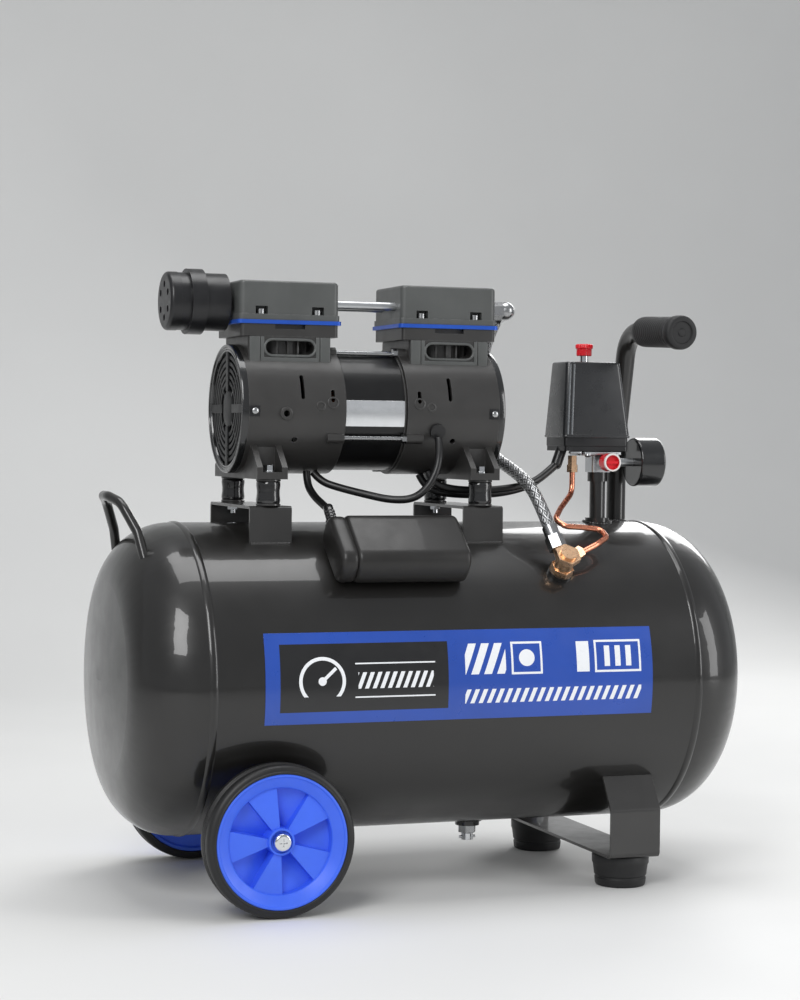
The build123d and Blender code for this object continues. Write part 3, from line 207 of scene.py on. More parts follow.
class Tree:
    """The node tree of one material while it is written."""

    def __init__(self, name: str) -> None:
        """Makes an empty material.

        Args:
            name: The material's name.
        """
        self.material = bpy.data.materials.new(name)
        self.material.use_nodes = True
        self.nodes = self.material.node_tree.nodes
        self.nodes.clear()

    def node(self, kind: str, settings: dict[str, Any], inputs: dict[Any, Any]) -> Socket:
        """Adds a node.

        Args:
            kind: The node's type.
            settings: What is set on the node itself; stops is a ramp's list of places and colours.
            inputs: The value or link of each input socket.

        Returns:
            The node's first output that is in use.
        """
        made = self.nodes.new(kind)
        for name, value in settings.items():
            if name == "stops":
                self._set_stops(made.color_ramp.elements, value)
            else:
                setattr(made, name, value)
        for name, value in inputs.items():
            if isinstance(value, Socket):
                self.material.node_tree.links.new(value.socket, made.inputs[name])
            else:
                made.inputs[name].default_value = value
        outputs = [s for s in made.outputs if s.enabled]
        return Socket(self, outputs[0]) if outputs else Socket(self, made.inputs[0])

    @staticmethod
    def _set_stops(elements: Any, stops: Sequence[tuple[float, Colour]]) -> None:
        """Writes a colour ramp's stops over the two that it starts with.

        Args:
            elements: The ramp's elements.
            stops: The place and colour of each stop.
        """
        while len(elements) < len(stops):
            elements.new(1.0)
        for element, (place, colour) in zip(elements, stops):
            element.position = place
            element.color = (*colour, 1.0)

    def math(self, operation: str, *values: "Socket | float") -> Socket:
        """A Math node on values or numbers."""
        return self.node("ShaderNodeMath", {"operation": operation}, dict(enumerate(values)))

    def mix(self, share: "Socket | float", first: Any, second: Any, mode: str = "MIX") -> Socket:
        """Two colours mixed.

        Args:
            share: How much of the second colour there is.
            first: The first colour.
            second: The second colour.
            mode: The Mix node's blend type.

        Returns:
            The mixed colour.
        """
        colours = [(*c, 1.0) if isinstance(c, tuple) else c for c in (first, second)]
        settings = {"data_type": "RGBA", "blend_type": mode}
        return self.node("ShaderNodeMix", settings, {0: share, 6: colours[0], 7: colours[1]})

    def place(self) -> Socket:
        """The point on the part, in the part's own frame."""
        return self.node("ShaderNodeTexCoord", {}, {}).out("Object")

    def axes(self, vector: Socket) -> tuple[Socket, Socket, Socket]:
        """The three numbers of a vector."""
        split = self.node("ShaderNodeSeparateXYZ", {}, {"Vector": vector})
        return split.out("X"), split.out("Y"), split.out("Z")

    def noise(self, vector: Socket, size: float, detail: float = 3.0) -> Socket:
        """Smooth noise from 0 to 1, with patches of a size in metres."""
        inputs = {"Vector": vector, "Scale": 1 / size, "Detail": detail, "Roughness": 0.55}
        return self.node("ShaderNodeTexNoise", {}, inputs)

    def finish(self, shader: Socket) -> bpy.types.Material:
        """Joins the shader to the output and gives the finished material."""
        self.node("ShaderNodeOutputMaterial", {}, {"Surface": shader})
        return self.material


@dataclass(frozen=True)
class Finish:
    """A finish with patchy colour, grain, edge wear and dust, all sizes in millimetres."""

    name: str
    slot: str
    colour: Colour
    roughness: float = 0.4
    metallic: float = 0.0
    specular: float = 0.5
    coat: float = 0.0
    coat_roughness: float = 0.04
    mottle: float = 0.12
    patch: float = 40.0
    rough_spread: float = 0.12
    grain: float = 0.02
    grain_size: float = 0.8
    edge: float = 0.4
    wear: float = 0.0
    wear_colour: Colour = (0.4, 0.4, 0.4)
    dust: float = 0.0
    alpha: float = 1.0

    def dressed(self) -> bpy.types.Material:
        """The finish's material, made once."""
        known = bpy.data.materials.get(f"finish_{self.name}")
        return known or self.build()

    def colours(self, tree: Tree, place: Socket) -> Socket:
        """The base colour over the surface.

        Args:
            tree: The material's tree.
            place: The point on the surface.

        Returns:
            The colour.
        """
        dark = tuple(c * (1 - self.mottle) for c in self.colour)
        light = tuple(min(1.0, c * (1 + self.mottle)) for c in self.colour)
        return tree.mix(tree.noise(place, self.patch * MM).ramp(0.3, 0.7), dark, light)

    def height(self, tree: Tree, place: Socket) -> Socket:
        """The surface's grain, from 0 to 1."""
        return tree.noise(place, self.grain_size * MM, 2.0)

    def build(self) -> bpy.types.Material:
        """Writes the material.

        Returns:
            The material.
        """
        tree = Tree(f"finish_{self.name}")
        place = tree.place()
        colour = self.colours(tree, place)
        uneven = tree.noise(place, self.patch * MM * 0.4, 5.0).ramp(0.3, 0.75)
        roughness = uneven * self.rough_spread + (self.roughness - self.rough_spread / 2)
        normal = tree.node("ShaderNodeNewGeometry", {}, {}).out("Normal")
        rounded = normal
        if self.edge:
            rounded = tree.node("ShaderNodeBevel", {"samples": 4}, {"Radius": self.edge * MM})
        if self.wear:
            wide = tree.node("ShaderNodeBevel", {"samples": 4}, {"Radius": self.edge * MM * 2})
            facing = tree.node("ShaderNodeVectorMath", {"operation": "DOT_PRODUCT"}, {0: wide, 1: normal})
            sharp = (1.0 - facing.out("Value")).ramp(0.03, 0.2)
            worn = sharp * tree.noise(place, 0.004, 4.0).ramp(0.42, 0.7) * self.wear
            colour = tree.mix(worn, colour, self.wear_colour)
            roughness = roughness - worn * 0.1
        if self.dust:
            up = tree.axes(normal)[2].ramp(0.55, 1.0)
            settled = up * tree.noise(place, 0.03, 6.0).ramp(0.35, 0.8) * self.dust
            colour = tree.mix(settled, colour, (0.2, 0.19, 0.175))
            roughness = roughness + settled * 0.5
        bump = tree.node(
            "ShaderNodeBump", {},
            {"Strength": 1.0, "Distance": self.grain * MM, "Height": self.height(tree, place),
             "Normal": rounded},
        )
        return tree.finish(self.shader(tree, colour, roughness, bump))

    def shader(self, tree: Tree, colour: Any, roughness: Any, normal: Socket) -> Socket:
        """The surface shader from its colour, roughness and normal."""
        return tree.node("ShaderNodeBsdfPrincipled", {}, {
            "Base Color": colour, "Roughness": roughness, "Normal": normal,
            "Metallic": self.metallic, "Specular IOR Level": self.specular,
            "Coat Weight": self.coat, "Coat Roughness": self.coat_roughness, "Alpha": self.alpha,
        })


@dataclass(frozen=True)
class BraidFinish(Finish):
    """Woven steel wire: two sets of strands that cross round the hose."""

    strands: int = 12
    pitch: float = 66.0

    def weave(self, tree: Tree) -> Socket:
        """The height of the woven strands, from 0 between them to 1 on their crowns.

        Args:
            tree: The material's tree.

        Returns:
            The height.
        """
        plan = tree.node("ShaderNodeAttribute", {"attribute_name": "plan"}, {}).out("Vector")
        around, along, _ = tree.axes(plan)
        turns = around / (2 * math.pi) * self.strands
        advance = along * (self.strands / self.pitch)
        right = self.crowns(turns + advance)
        left = self.crowns(turns - advance)
        over = self.crowns((turns + advance) * 0.5) > self.crowns((turns - advance) * 0.5)
        return over * right + (1.0 - over) * left

    @staticmethod
    def crowns(phase: Socket) -> Socket:
        """A row of round crowns, one for each whole number."""
        return (phase * (2 * math.pi)).math("SINE") * 0.5 + 0.5

    def height(self, tree: Tree, place: Socket) -> Socket:
        """The weave's relief."""
        return self.weave(tree)

    def colours(self, tree: Tree, place: Socket) -> Socket:
        """Bright strands with dark gaps; the darkness in the low parts of the weave is painted shade."""
        # The dark colour in the weave's low parts is painted shade between the strands.
        dark = tuple(c * 0.1 for c in self.colour)
        return tree.mix(self.weave(tree).ramp(0.1, 0.55), dark, self.colour)


@dataclass(frozen=True)
class LabelFinish(Finish):
    """A printed vinyl label: a blue ground, a dark panel and plain white marks."""

    ground: Colour = paint(27, 74, 172)
    panel: Colour = paint(14, 14, 16)
    ink: Colour = paint(235, 237, 240)

    @staticmethod
    def block(u: Socket, v: Socket, low: tuple[float, float], high: tuple[float, float]) -> Socket:
        """1 inside an upright rectangle."""
        return u.between(low[0], high[0]) * v.between(low[1], high[1])

    def outlined(self, u: Socket, v: Socket, low: tuple[float, float], high: tuple[float, float],
                 line: float) -> Socket:
        """1 on the line round an upright rectangle.

        Args:
            u: The distance along the label.
            v: The distance up the label.
            low: The rectangle's low corner.
            high: The rectangle's high corner.
            line: The line's width.

        Returns:
            The mask.
        """
        inner_low = (low[0] + line, low[1] + line)
        inner_high = (high[0] - line, high[1] - line)
        return self.block(u, v, low, high) * (1.0 - self.block(u, v, inner_low, inner_high))

    @staticmethod
    def distance(u: Socket, v: Socket, centre: tuple[float, float]) -> Socket:
        """The distance from a point on the label."""
        across, up = u - centre[0], v - centre[1]
        return (across * across + up * up).math("SQRT")

    def marks(self, u: Socket, v: Socket) -> Socket:
        """The white marks: a pressure dial, rules, slanting air stripes and two frames.

        Args:
            u: The distance along the label.
            v: The distance up the label.

        Returns:
            The mask.
        """
        reach = self.distance(u, v, (58, 42))
        dial = reach.between(20.5, 24) * ((v - 42.0) > -15.0)
        slope = (v - 42.0) - (u - 58.0) * 0.9
        pointer = slope.between(-2.2, 2.2) * (reach < 19.0) * (v > 41.0)
        hub = reach < 4.2
        rules = self.block(u, v, (92, 58), (176, 59.4)) + self.block(u, v, (92, 25), (176, 26.4))
        lean = u - v * 0.4
        beat = (lean / 8.0).math("FRACT")
        stripes = self.block(u, v, (95, 34), (174, 50)) * (beat < 0.52)
        big = self.block(u, v, (208, 45), (252, 76)) * ((lean / 14.0).math("FRACT") < 0.6)
        second = self.block(u, v, (330, 45), (344, 76))
        frames = self.outlined(u, v, (258, 44), (292, 77), 2.2)
        frames = frames + self.outlined(u, v, (350, 44), (402, 77), 2.2)
        drops = self.distance(u, v, (275, 60.5)) < 8.5
        bars = self.block(u, v, (361, 50), (367, 71)) + self.block(u, v, (373, 50), (379, 71))
        bars = bars + self.block(u, v, (385, 50), (391, 71))
        foot = self.block(u, v, (208, 16), (402, 30)) * ((lean / 9.0).math("FRACT") < 0.5)
        all_marks = dial + pointer + hub + rules + stripes + big + second + frames + drops + bars + foot
        return all_marks.math("MINIMUM", 1.0)

    def colours(self, tree: Tree, place: Socket) -> Socket:
        """The printed colours over the label.

        Args:
            tree: The material's tree.
            place: The point on the label.

        Returns:
            The colour.
        """
        plan = tree.node("ShaderNodeAttribute", {"attribute_name": "plan"}, {}).out("Vector")
        u, v, _ = tree.axes(plan)
        ground = tree.mix(tree.noise(place, 0.12).ramp(0.3, 0.7), self.ground,
                          tuple(c * 0.86 for c in self.ground))
        printed = tree.mix(self.block(u, v, (15, 12), (190, 79)), ground, self.panel)
        return tree.mix(self.marks(u, v), printed, self.ink)


TANK_PAINT = Finish("tank_enamel", "tank_paint", paint(25, 24, 23), 0.34, coat=0.7, coat_roughness=0.045,
                    specular=0.35, mottle=0.08, patch=90, grain=0.012, grain_size=2.2, edge=0.0, dust=0.05)
BRACKET_PAINT = Finish("bracket_enamel", "bracket_paint", paint(40, 39, 38), 0.38, coat=0.6, grain=0.02,
                       coat_roughness=0.1, wear=0.25)
CAST_GREY = Finish("cast_grey_paint", "cast_grey", paint(45, 44, 43), 0.44, coat=0.2, coat_roughness=0.2,
                   grain=0.05, grain_size=0.9, edge=0.7, wear=0.22, dust=0.05)
HEAD_GREY = Finish("head_grey_paint", "cast_grey", paint(76, 78, 77), 0.46, coat=0.2, coat_roughness=0.25,
                   grain=0.06, grain_size=0.7, edge=1.0, wear=0.2, dust=0.05)
STATOR_BLACK = Finish("stator_enamel", "stator_black", paint(11, 11, 12), 0.36, coat=0.2, coat_roughness=0.12,
                      specular=0.35, grain=0.006)
BLUE_PLATE = Finish("blue_anodised_plate", "blue_plate", paint(34, 84, 186), 0.36, metallic=0.3)
ALUMINIUM = Finish("bare_aluminium", "bare_aluminium", paint(188, 190, 192), 0.34, metallic=1.0, grain=0.03)
STEEL = Finish("bright_steel", "steel", paint(168, 169, 170), 0.28, metallic=1.0, grain=0.01)
CHROME = Finish("chrome", "chrome", paint(214, 216, 218), 0.12, metallic=1.0, grain=0.004)
BRASS = Finish("brass", "brass", paint(226, 186, 150), 0.3, metallic=1.0, mottle=0.07, patch=8,
               wear=0.2, wear_colour=paint(240, 216, 190))
COPPER = Finish("copper", "copper", paint(228, 150, 120), 0.28, metallic=1.0, mottle=0.08, patch=14,
                grain=0.008)
WHEEL_BLUE = Finish("wheel_blue_plastic", "wheel_blue", paint(62, 106, 236), 0.4, mottle=0.05, grain=0.02,
                    grain_size=1.2)
TYRE_RUBBER = Finish("tyre_rubber", "tyre_rubber", paint(24, 24, 25), 0.46, grain=0.04, dust=0.08)
RUBBER = Finish("moulded_rubber", "rubber", paint(24, 24, 25), 0.5, grain=0.04, grain_size=0.6)
BLACK_PLASTIC = Finish("black_plastic", "black_plastic", paint(22, 22, 24), 0.34, grain=0.018, grain_size=0.5)
GREY_PLASTIC = Finish("grey_plastic", "grey_plastic", paint(31, 30, 29), 0.42, coat=0.12, grain=0.03,
                      grain_size=0.6, specular=0.4)
GLOSS_BLACK = Finish("gloss_black_plastic", "black_plastic", paint(20, 21, 22), 0.2, coat=0.7, grain=0.006)
SMOKED = Finish("smoked_plastic", "black_plastic", paint(13, 14, 15), 0.4, specular=0.3, grain=0.02,
                grain_size=0.6)
# The ribs are the switch cover's black plastic; their light grey colour is a painted highlight.
RIB_PAINTED_HIGHLIGHT = Finish("rib_painted_highlight", "black_plastic", paint(96, 99, 102), 0.2, coat=1.0, grain=0.004)
KNOB_WHITE = Finish("knob_white_ring", "dial_white", paint(226, 222, 220), 0.35, mottle=0.04, grain=0.01)
RED_PLASTIC = Finish("red_plastic", "red_plastic", paint(212, 22, 36), 0.3, mottle=0.08, grain=0.01)
CABLE_BLACK = Finish("cable_sheath", "cable_black", paint(19, 19, 20), 0.38, grain=0.015)
STEEL_BRAID = BraidFinish("steel_braid", "steel_braid", paint(186, 187, 188), 0.34, metallic=0.8, grain=0.3)
DIAL_WHITE = Finish("dial_card", "dial_white", paint(232, 231, 226), 0.6, mottle=0.03)
WINDING = Finish("winding_enamel", "winding_copper", paint(158, 84, 44), 0.35, metallic=0.7, coat=0.5)
LENS = Finish("dial_lens", "lens", paint(235, 238, 240), 0.05, specular=0.8, edge=0.0, grain=0.002,
              alpha=0.14)
LABEL = LabelFinish("printed_label", "", paint(27, 74, 172), 0.32, coat=0.5, coat_roughness=0.08,
                    grain=0.008, grain_size=3.0)
NAMEPLATE = Finish("nameplate_foil", "bare_aluminium", paint(226, 228, 230), 0.22, metallic=0.85,
                   mottle=0.05, patch=12, grain=0.01, grain_size=6.0)
GLOSS_RUBBER = Finish("gloss_rubber", "rubber", paint(26, 26, 27), 0.18, coat=0.6, grain=0.02, grain_size=3.0)
FOAM = Finish("grip_rubber", "rubber", paint(22, 22, 23), 0.55, grain=0.09, grain_size=0.7, mottle=0.2)
INK = Finish("dial_ink", "black_plastic", paint(18, 18, 20), 0.5)
SWITCH_PLASTIC = Finish("switch_cover_plastic", "black_plastic", paint(34, 35, 37), 0.3, coat=0.5,
                        coat_roughness=0.12, grain=0.01, grain_size=0.4)

FINISHES = (
    TANK_PAINT, BRACKET_PAINT, CAST_GREY, STATOR_BLACK, BLUE_PLATE, ALUMINIUM, STEEL, CHROME, BRASS,
    COPPER, WHEEL_BLUE, TYRE_RUBBER, RUBBER, BLACK_PLASTIC, GREY_PLASTIC, RED_PLASTIC, CABLE_BLACK,
    STEEL_BRAID, DIAL_WHITE, WINDING, LENS,
)


def dress_nodes() -> None:
    """Gives every carried-over node the finish of its material slot."""
    by_slot = {finish.slot: finish for finish in FINISHES}
    own = {"left_head_cover": HEAD_GREY, "right_head_cover": HEAD_GREY, "gauge_case": GLOSS_BLACK}
    for part in frame["record"]["subparts"]:
        node = frame["nodes"][part["node"]]
        node.data.materials.clear()
        finish = own.get(part["node"], by_slot[part["material_slot"]])
        node.data.materials.append(finish.dressed())
    for name in ("left_tank_head", "right_tank_head"):
        frame["nodes"][name].modifiers.new("even_normals", "WEIGHTED_NORMAL").keep_sharp = True


class Shape:
    """A mesh being made in the part's own frame, in millimetres."""

    def __init__(self) -> None:
        """Starts with no points and no faces."""
        self.points: list[Vector] = []
        self.faces: list[tuple[int, ...]] = []
        self.plan: list[Point] = []

    def rings(self, rings: Sequence[Sequence[Vector]], capped: bool = True,
              looped: bool = False) -> "Shape":
        """Skins a row of closed rings that have the same number of points.

        Args:
            rings: The rings, in order.
            capped: Whether the first and last ring are filled.
            looped: Whether the last ring joins the first.

        Returns:
            The shape.
        """
        base, count = len(self.points), len(rings[0])
        for ring in rings:
            self.points.extend(Vector(p) for p in ring)
        for row in range(len(rings) - (0 if looped else 1)):
            near, far = base + row * count, base + (row + 1) % len(rings) * count
            for i in range(count):
                j = (i + 1) % count
                self.faces.append((near + i, near + j, far + j, far + i))
        if capped and not looped:
            self.faces.append(tuple(range(base + count - 1, base - 1, -1)))
            last = base + (len(rings) - 1) * count
            self.faces.append(tuple(range(last, last + count)))
        return self

    def turned(self, profile: Sequence[tuple[float, float]], origin: Iterable[float],
               axis: Iterable[float], steps: int = 64, looped: bool = False,
               flutes: int = 0, flute: float = 0.0) -> "Shape":
        """A piece turned about an axis.

        Args:
            profile: The distance along the axis and the radius of each point.
            origin: The axis's start.
            axis: The axis's direction.
            steps: The number of points round it.
            looped: Whether the profile is closed.
            flutes: The number of flutes round it.
            flute: The depth of a flute.

        Returns:
            The shape.
        """
        start, along = Vector(origin), Vector(axis).normalized()
        across = along.orthogonal().normalized()
        over = along.cross(across)
        rings = []
        for distance, radius in profile:
            ring = []
            for step in range(steps):
                angle = 2 * math.pi * step / steps
                c, s = turn(angle)
                depth = flute * (0.5 - 0.5 * math.cos(flutes * angle)) if radius > 3 * flute else 0
                ring.append(start + along * distance + (across * c + over * s) * (radius - depth))
            rings.append(ring)
        return self.rings(rings, looped=looped)

    def swept(self, path: Sequence[Vector], radius: float, sides: int = 24) -> "Shape":
        """A round tube along a path, with its plan written as (angle, length).

        Args:
            path: The points of the centreline.
            radius: The tube's radius.
            sides: The number of points round it.

        Returns:
            The shape.
        """
        tangents = [
            (path[min(i + 1, len(path) - 1)] - path[max(i - 1, 0)]).normalized() for i in range(len(path))
        ]
        across = tangents[0].orthogonal().normalized()
        rings, travelled = [], 0.0
        for i, (point, tangent) in enumerate(zip(path, tangents)):
            across = (across - tangent * across.dot(tangent)).normalized()
            over = tangent.cross(across)
            travelled += (point - path[i - 1]).length if i else 0.0
            ring = []
            for side in range(sides):
                angle = 2 * math.pi * side / sides
                c, s = turn(angle)
                ring.append(point + (across * c + over * s) * radius)
                self.plan.append((angle, travelled, 0.0))
            rings.append(ring)
        return self.rings(rings)

    def patch(self, along: tuple[float, float], angles: tuple[float, float], radii: tuple[float, float],
              centre: tuple[float, float], steps: int = 24) -> "Shape":
        """A curved plate lying round an axis along X, with its plan written in millimetres.

        Args:
            along: The plate's ends along X.
            angles: Its edges in radians, from the front upwards.
            radii: Its inner and outer radius.
            centre: The axis's y and z.
            steps: The number of strips round the axis.

        Returns:
            The shape.
        """
        rings = []
        for x in (along[0], along[1]):
            ring = []
            for radius, order in ((radii[1], range(steps + 1)), (radii[0], range(steps, -1, -1))):
                for step in order:
                    angle = angles[0] + (angles[1] - angles[0]) * step / steps
                    c, s = turn(angle)
                    ring.append(Vector((x, centre[0] - radius * c, centre[1] + radius * s)))
                    self.plan.append((x - along[0], (angle - angles[0]) * radii[1], 0.0))
            rings.append(ring)
        return self.rings(rings)

    def rounded(self, low: Iterable[float], high: Iterable[float], corner: float, edge: float = 0.0,
                taper: Sequence[float] = (0, 0, 0, 0), frame_of: Matrix | None = None) -> "Shape":
        """A box with rounded upright corners and rounded top and bottom edges.

        Args:
            low: The low corner.
            high: The high corner.
            corner: The radius of the upright corners.
            edge: The radius of the top and bottom edges.
            taper: How far the top's sides come in at low x, high x, low y and high y.
            frame_of: The box's own frame, if it is turned.

        Returns:
            The shape.
        """
        (x0, y0, z0), (x1, y1, z1) = low, high
        if edge:
            arcs = [turn(math.pi / 2 * k / 4) for k in range(5)]
            levels = [(z0 + edge - edge * c, edge * (1 - s)) for c, s in arcs]
            levels += [(z1 - edge + edge * s, edge * (1 - c)) for c, s in arcs]
        else:
            levels = [(z0, 0.0), (z1, 0.0)]
        rings = []
        for z, inset in levels:
            share = (z - z0) / (z1 - z0)
            left, right = x0 + taper[0] * share + inset, x1 - taper[1] * share - inset
            near, far = y0 + taper[2] * share + inset, y1 - taper[3] * share - inset
            radius = max(corner - inset, 0.05)
            ring = []
            for cx, cy, start in ((right, far, 0), (left, far, 1), (left, near, 2), (right, near, 3)):
                mx = cx - radius if cx == right else cx + radius
                my = cy - radius if cy == far else cy + radius
                for k in range(7):
                    c, s = turn(math.pi / 2 * (start + k / 6))
                    ring.append(Vector((mx + radius * c, my + radius * s, z)))
            rings.append(ring)
        if frame_of is not None:
            rings = [[frame_of @ p for p in ring] for ring in rings]
        return self.rings(rings)

    def nut(self, origin: Iterable[float], axis: Iterable[float], across: float, high: float) -> "Shape":
        """A hexagonal nut or bolt head with its corners turned off.

        Args:
            origin: The middle of its seat.
            axis: The direction that it stands in.
            across: The width across the flats.
            high: Its height.

        Returns:
            The shape.
        """
        corner = across / math.sqrt(3)
        cut = corner * 0.12
        profile = [(0, corner - cut), (cut * 0.6, corner), (high - cut * 0.6, corner), (high, corner - cut)]
        return self.turned(profile, origin, axis, steps=6)

    def mesh(self, name: str, smooth: float) -> bpy.types.Mesh:
        """The finished mesh in metres.

        Args:
            name: The mesh's name.
            smooth: The angle in degrees above which an edge stays sharp.

        Returns:
            The mesh.
        """
        made = bpy.data.meshes.new(name)
        made.from_pydata([p * MM for p in self.points], [], self.faces)
        if self.plan:
            plan = made.attributes.new("plan", "FLOAT_VECTOR", "POINT")
            plan.data.foreach_set("vector", [n for p in self.plan for n in p])
        work = bmesh.new()
        work.from_mesh(made)
        if not self.plan:
            bmesh.ops.remove_doubles(work, verts=work.verts, dist=1e-6)
        bmesh.ops.recalc_face_normals(work, faces=work.faces)
        work.to_mesh(made)
        work.free()
        made.shade_smooth()
        made.set_sharp_from_angle(angle=math.radians(smooth))
        return made


def extent(node: str) -> tuple[Vector, Vector]:
    """The low and high corner of a CAD node, in millimetres."""
    low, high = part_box(node)
    return low / MM, high / MM


@dataclass
class Assembly:
    """A group of pieces that ride on one body."""

    body: str = "tank"

    def piece(self, name: str, shape: Shape, finish: Finish, replaces: Sequence[str] = (),
              smooth: float = 38.0) -> bpy.types.Object:
        """Makes a piece, dresses it and lets it ride on the body.

        Args:
            name: The piece's name.
            shape: Its shape.
            finish: Its finish.
            replaces: The CAD nodes that it stands for.
            smooth: The angle in degrees above which an edge stays sharp.

        Returns:
            The piece.
        """
        made = linked(name, shape.mesh(name, smooth))
        made.data.materials.append(finish.dressed())
        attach(made, self.body)
        if replaces:
            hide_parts(*replaces)
        LOG.info("piece %s", name)
        return made


@dataclass
class Line:
    """A flexible line: its route's points in metres, its size and what it is made of."""

    name: str
    body: str
    points: tuple[Point, ...]
    diameter: float
    length: float
    finish: Finish
    stiffness: str = "medium"
    lay: str = "hanging"

    def spline(self, name: str, bevel: float) -> bpy.types.Object:
        """The smooth line through the route.

        Args:
            name: The object's name.
            bevel: The line's radius, or 0 for a bare centreline.

        Returns:
            The curve object.
        """
        curve = bpy.data.curves.new(name, "CURVE")
        curve.dimensions = "3D"
        curve.bevel_depth = bevel
        curve.bevel_resolution = 6
        curve.resolution_u = 16
        curve.use_fill_caps = True
        spline = curve.splines.new("NURBS")
        spline.points.add(len(self.points) - 1)
        for control, point in zip(spline.points, self.points):
            control.co = (*point, 1.0)
        spline.order_u = 3
        spline.use_endpoint_u = True
        return linked(name, curve)

    def cable(self) -> bpy.types.Object:
        """The line as a round cable, logged and riding on its body.

        Returns:
            The cable's curve object.
        """
        made = self.spline(self.name, self.diameter / 2)
        made.data.materials.append(self.finish.dressed())
        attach(made, self.body)
        return self.declared(made)

    def declared(self, made: bpy.types.Object) -> bpy.types.Object:
        """Logs the name of the object that shows the line; its length and size are not stated.

        Args:
            made: The object that shows the line.

        Returns:
            The object.
        """
        LOG.info("cord %s", made.name)
        return made


@dataclass
class Tank(Assembly):
    """The tank's label and the beads that weld its fittings on."""

    label_ends: tuple[float, float] = (-209.0, 206.0)
    label_angles: tuple[float, float] = (-0.197, 0.367)
    label_thick: float = 0.35
    foot_long: float = 44.0
    foot_bead: float = 1.9
    bung_round: float = 14.4
    handle_round: float = 12.0
    round_bead: float = 1.7

    def build(self) -> None:
        """Makes the label and the weld beads."""
        low, high = extent("tank_shell")
        radius = (high.z - low.z) / 2
        centre = ((low.y + high.y) / 2, (low.z + high.z) / 2)
        radii = (radius, radius + self.label_thick)
        label = Shape().patch(self.label_ends, self.label_angles, radii, centre, 48)
        self.piece("tank_label", label, LABEL)
        self.bracket_beads(radius, centre)
        self.port_beads(radius, centre)

    def bead(self, path: Sequence[Vector], radius: float) -> Shape:
        """A rippled weld bead along a path.

        Args:
            path: The points that it follows.
            radius: Its mean radius.

        Returns:
            The shape.
        """
        sides, ripple = 10, 0.16
        dense = []
        for start, end in zip(path, path[1:]):
            count = max(2, round((end - start).length / 1.2))
            dense += [start.lerp(end, k / count) for k in range(count)]
        dense.append(path[-1])
        shape = Shape().swept(dense, radius, sides)
        shape.plan.clear()
        for i, point in enumerate(shape.points):
            centre = dense[i // sides]
            shape.points[i] = centre + (point - centre) * (1 + ripple * math.sin(i // sides * 2.1))
        return shape

    def bracket_beads(self, radius: float, centre: tuple[float, float]) -> None:
        """Beads along the feet of both pump brackets.

        Args:
            radius: The tank's radius.
            centre: The tank axis's y and z.
        """
        low, high = extent("pump_brackets")
        half = high.y - 1.5
        z = centre[1] + math.sqrt(radius ** 2 - half ** 2)
        beads = Shape()
        for left in (low.x, high.x - self.foot_long):
            for side in (-1, 1):
                ends = (left + 1, left + self.foot_long - 1)
                one = self.bead([Vector((x, side * (half + 1.4), z - 1)) for x in ends], self.foot_bead)
                base = len(beads.points)
                beads.points += one.points
                beads.faces += [tuple(i + base for i in face) for face in one.faces]
        self.piece("bracket_weld_beads", beads, BRACKET_PAINT)

    def port_beads(self, radius: float, centre: tuple[float, float]) -> None:
        """A bead round each bung and round the foot of the pull handle.

        Args:
            radius: The tank's radius.
            centre: The tank axis's y and z.
        """
        riser = extent("riser_pipe")
        tube = extent("pull_handle")
        drain = extent("drain_body")
        handle = Vector((tube[0].x + 10.5, tube[1].y - 10.5, 0))
        spots = (
            ("riser_weld", (riser[0] + riser[1]) / 2, self.bung_round, 1),
            ("handle_weld", handle, self.handle_round, 1),
            ("drain_weld", (drain[0] + drain[1]) / 2, self.bung_round, -1),
        )
        for name, spot, wide, up in spots:
            path = []
            for step in range(49):
                c, s = turn(2 * math.pi * step / 48)
                x, y = spot.x + wide * c, spot.y + wide * s
                rise = math.sqrt((radius + 0.4) ** 2 - (y - centre[0]) ** 2)
                path.append(Vector((x, y, centre[1] + up * rise)))
            self.piece(name, self.bead(path, self.round_bead), TANK_PAINT)


class Side(Enum):
    """The side of the tank that a wheel is on, with the sign of its y."""

    FRONT = -1
    REAR = 1


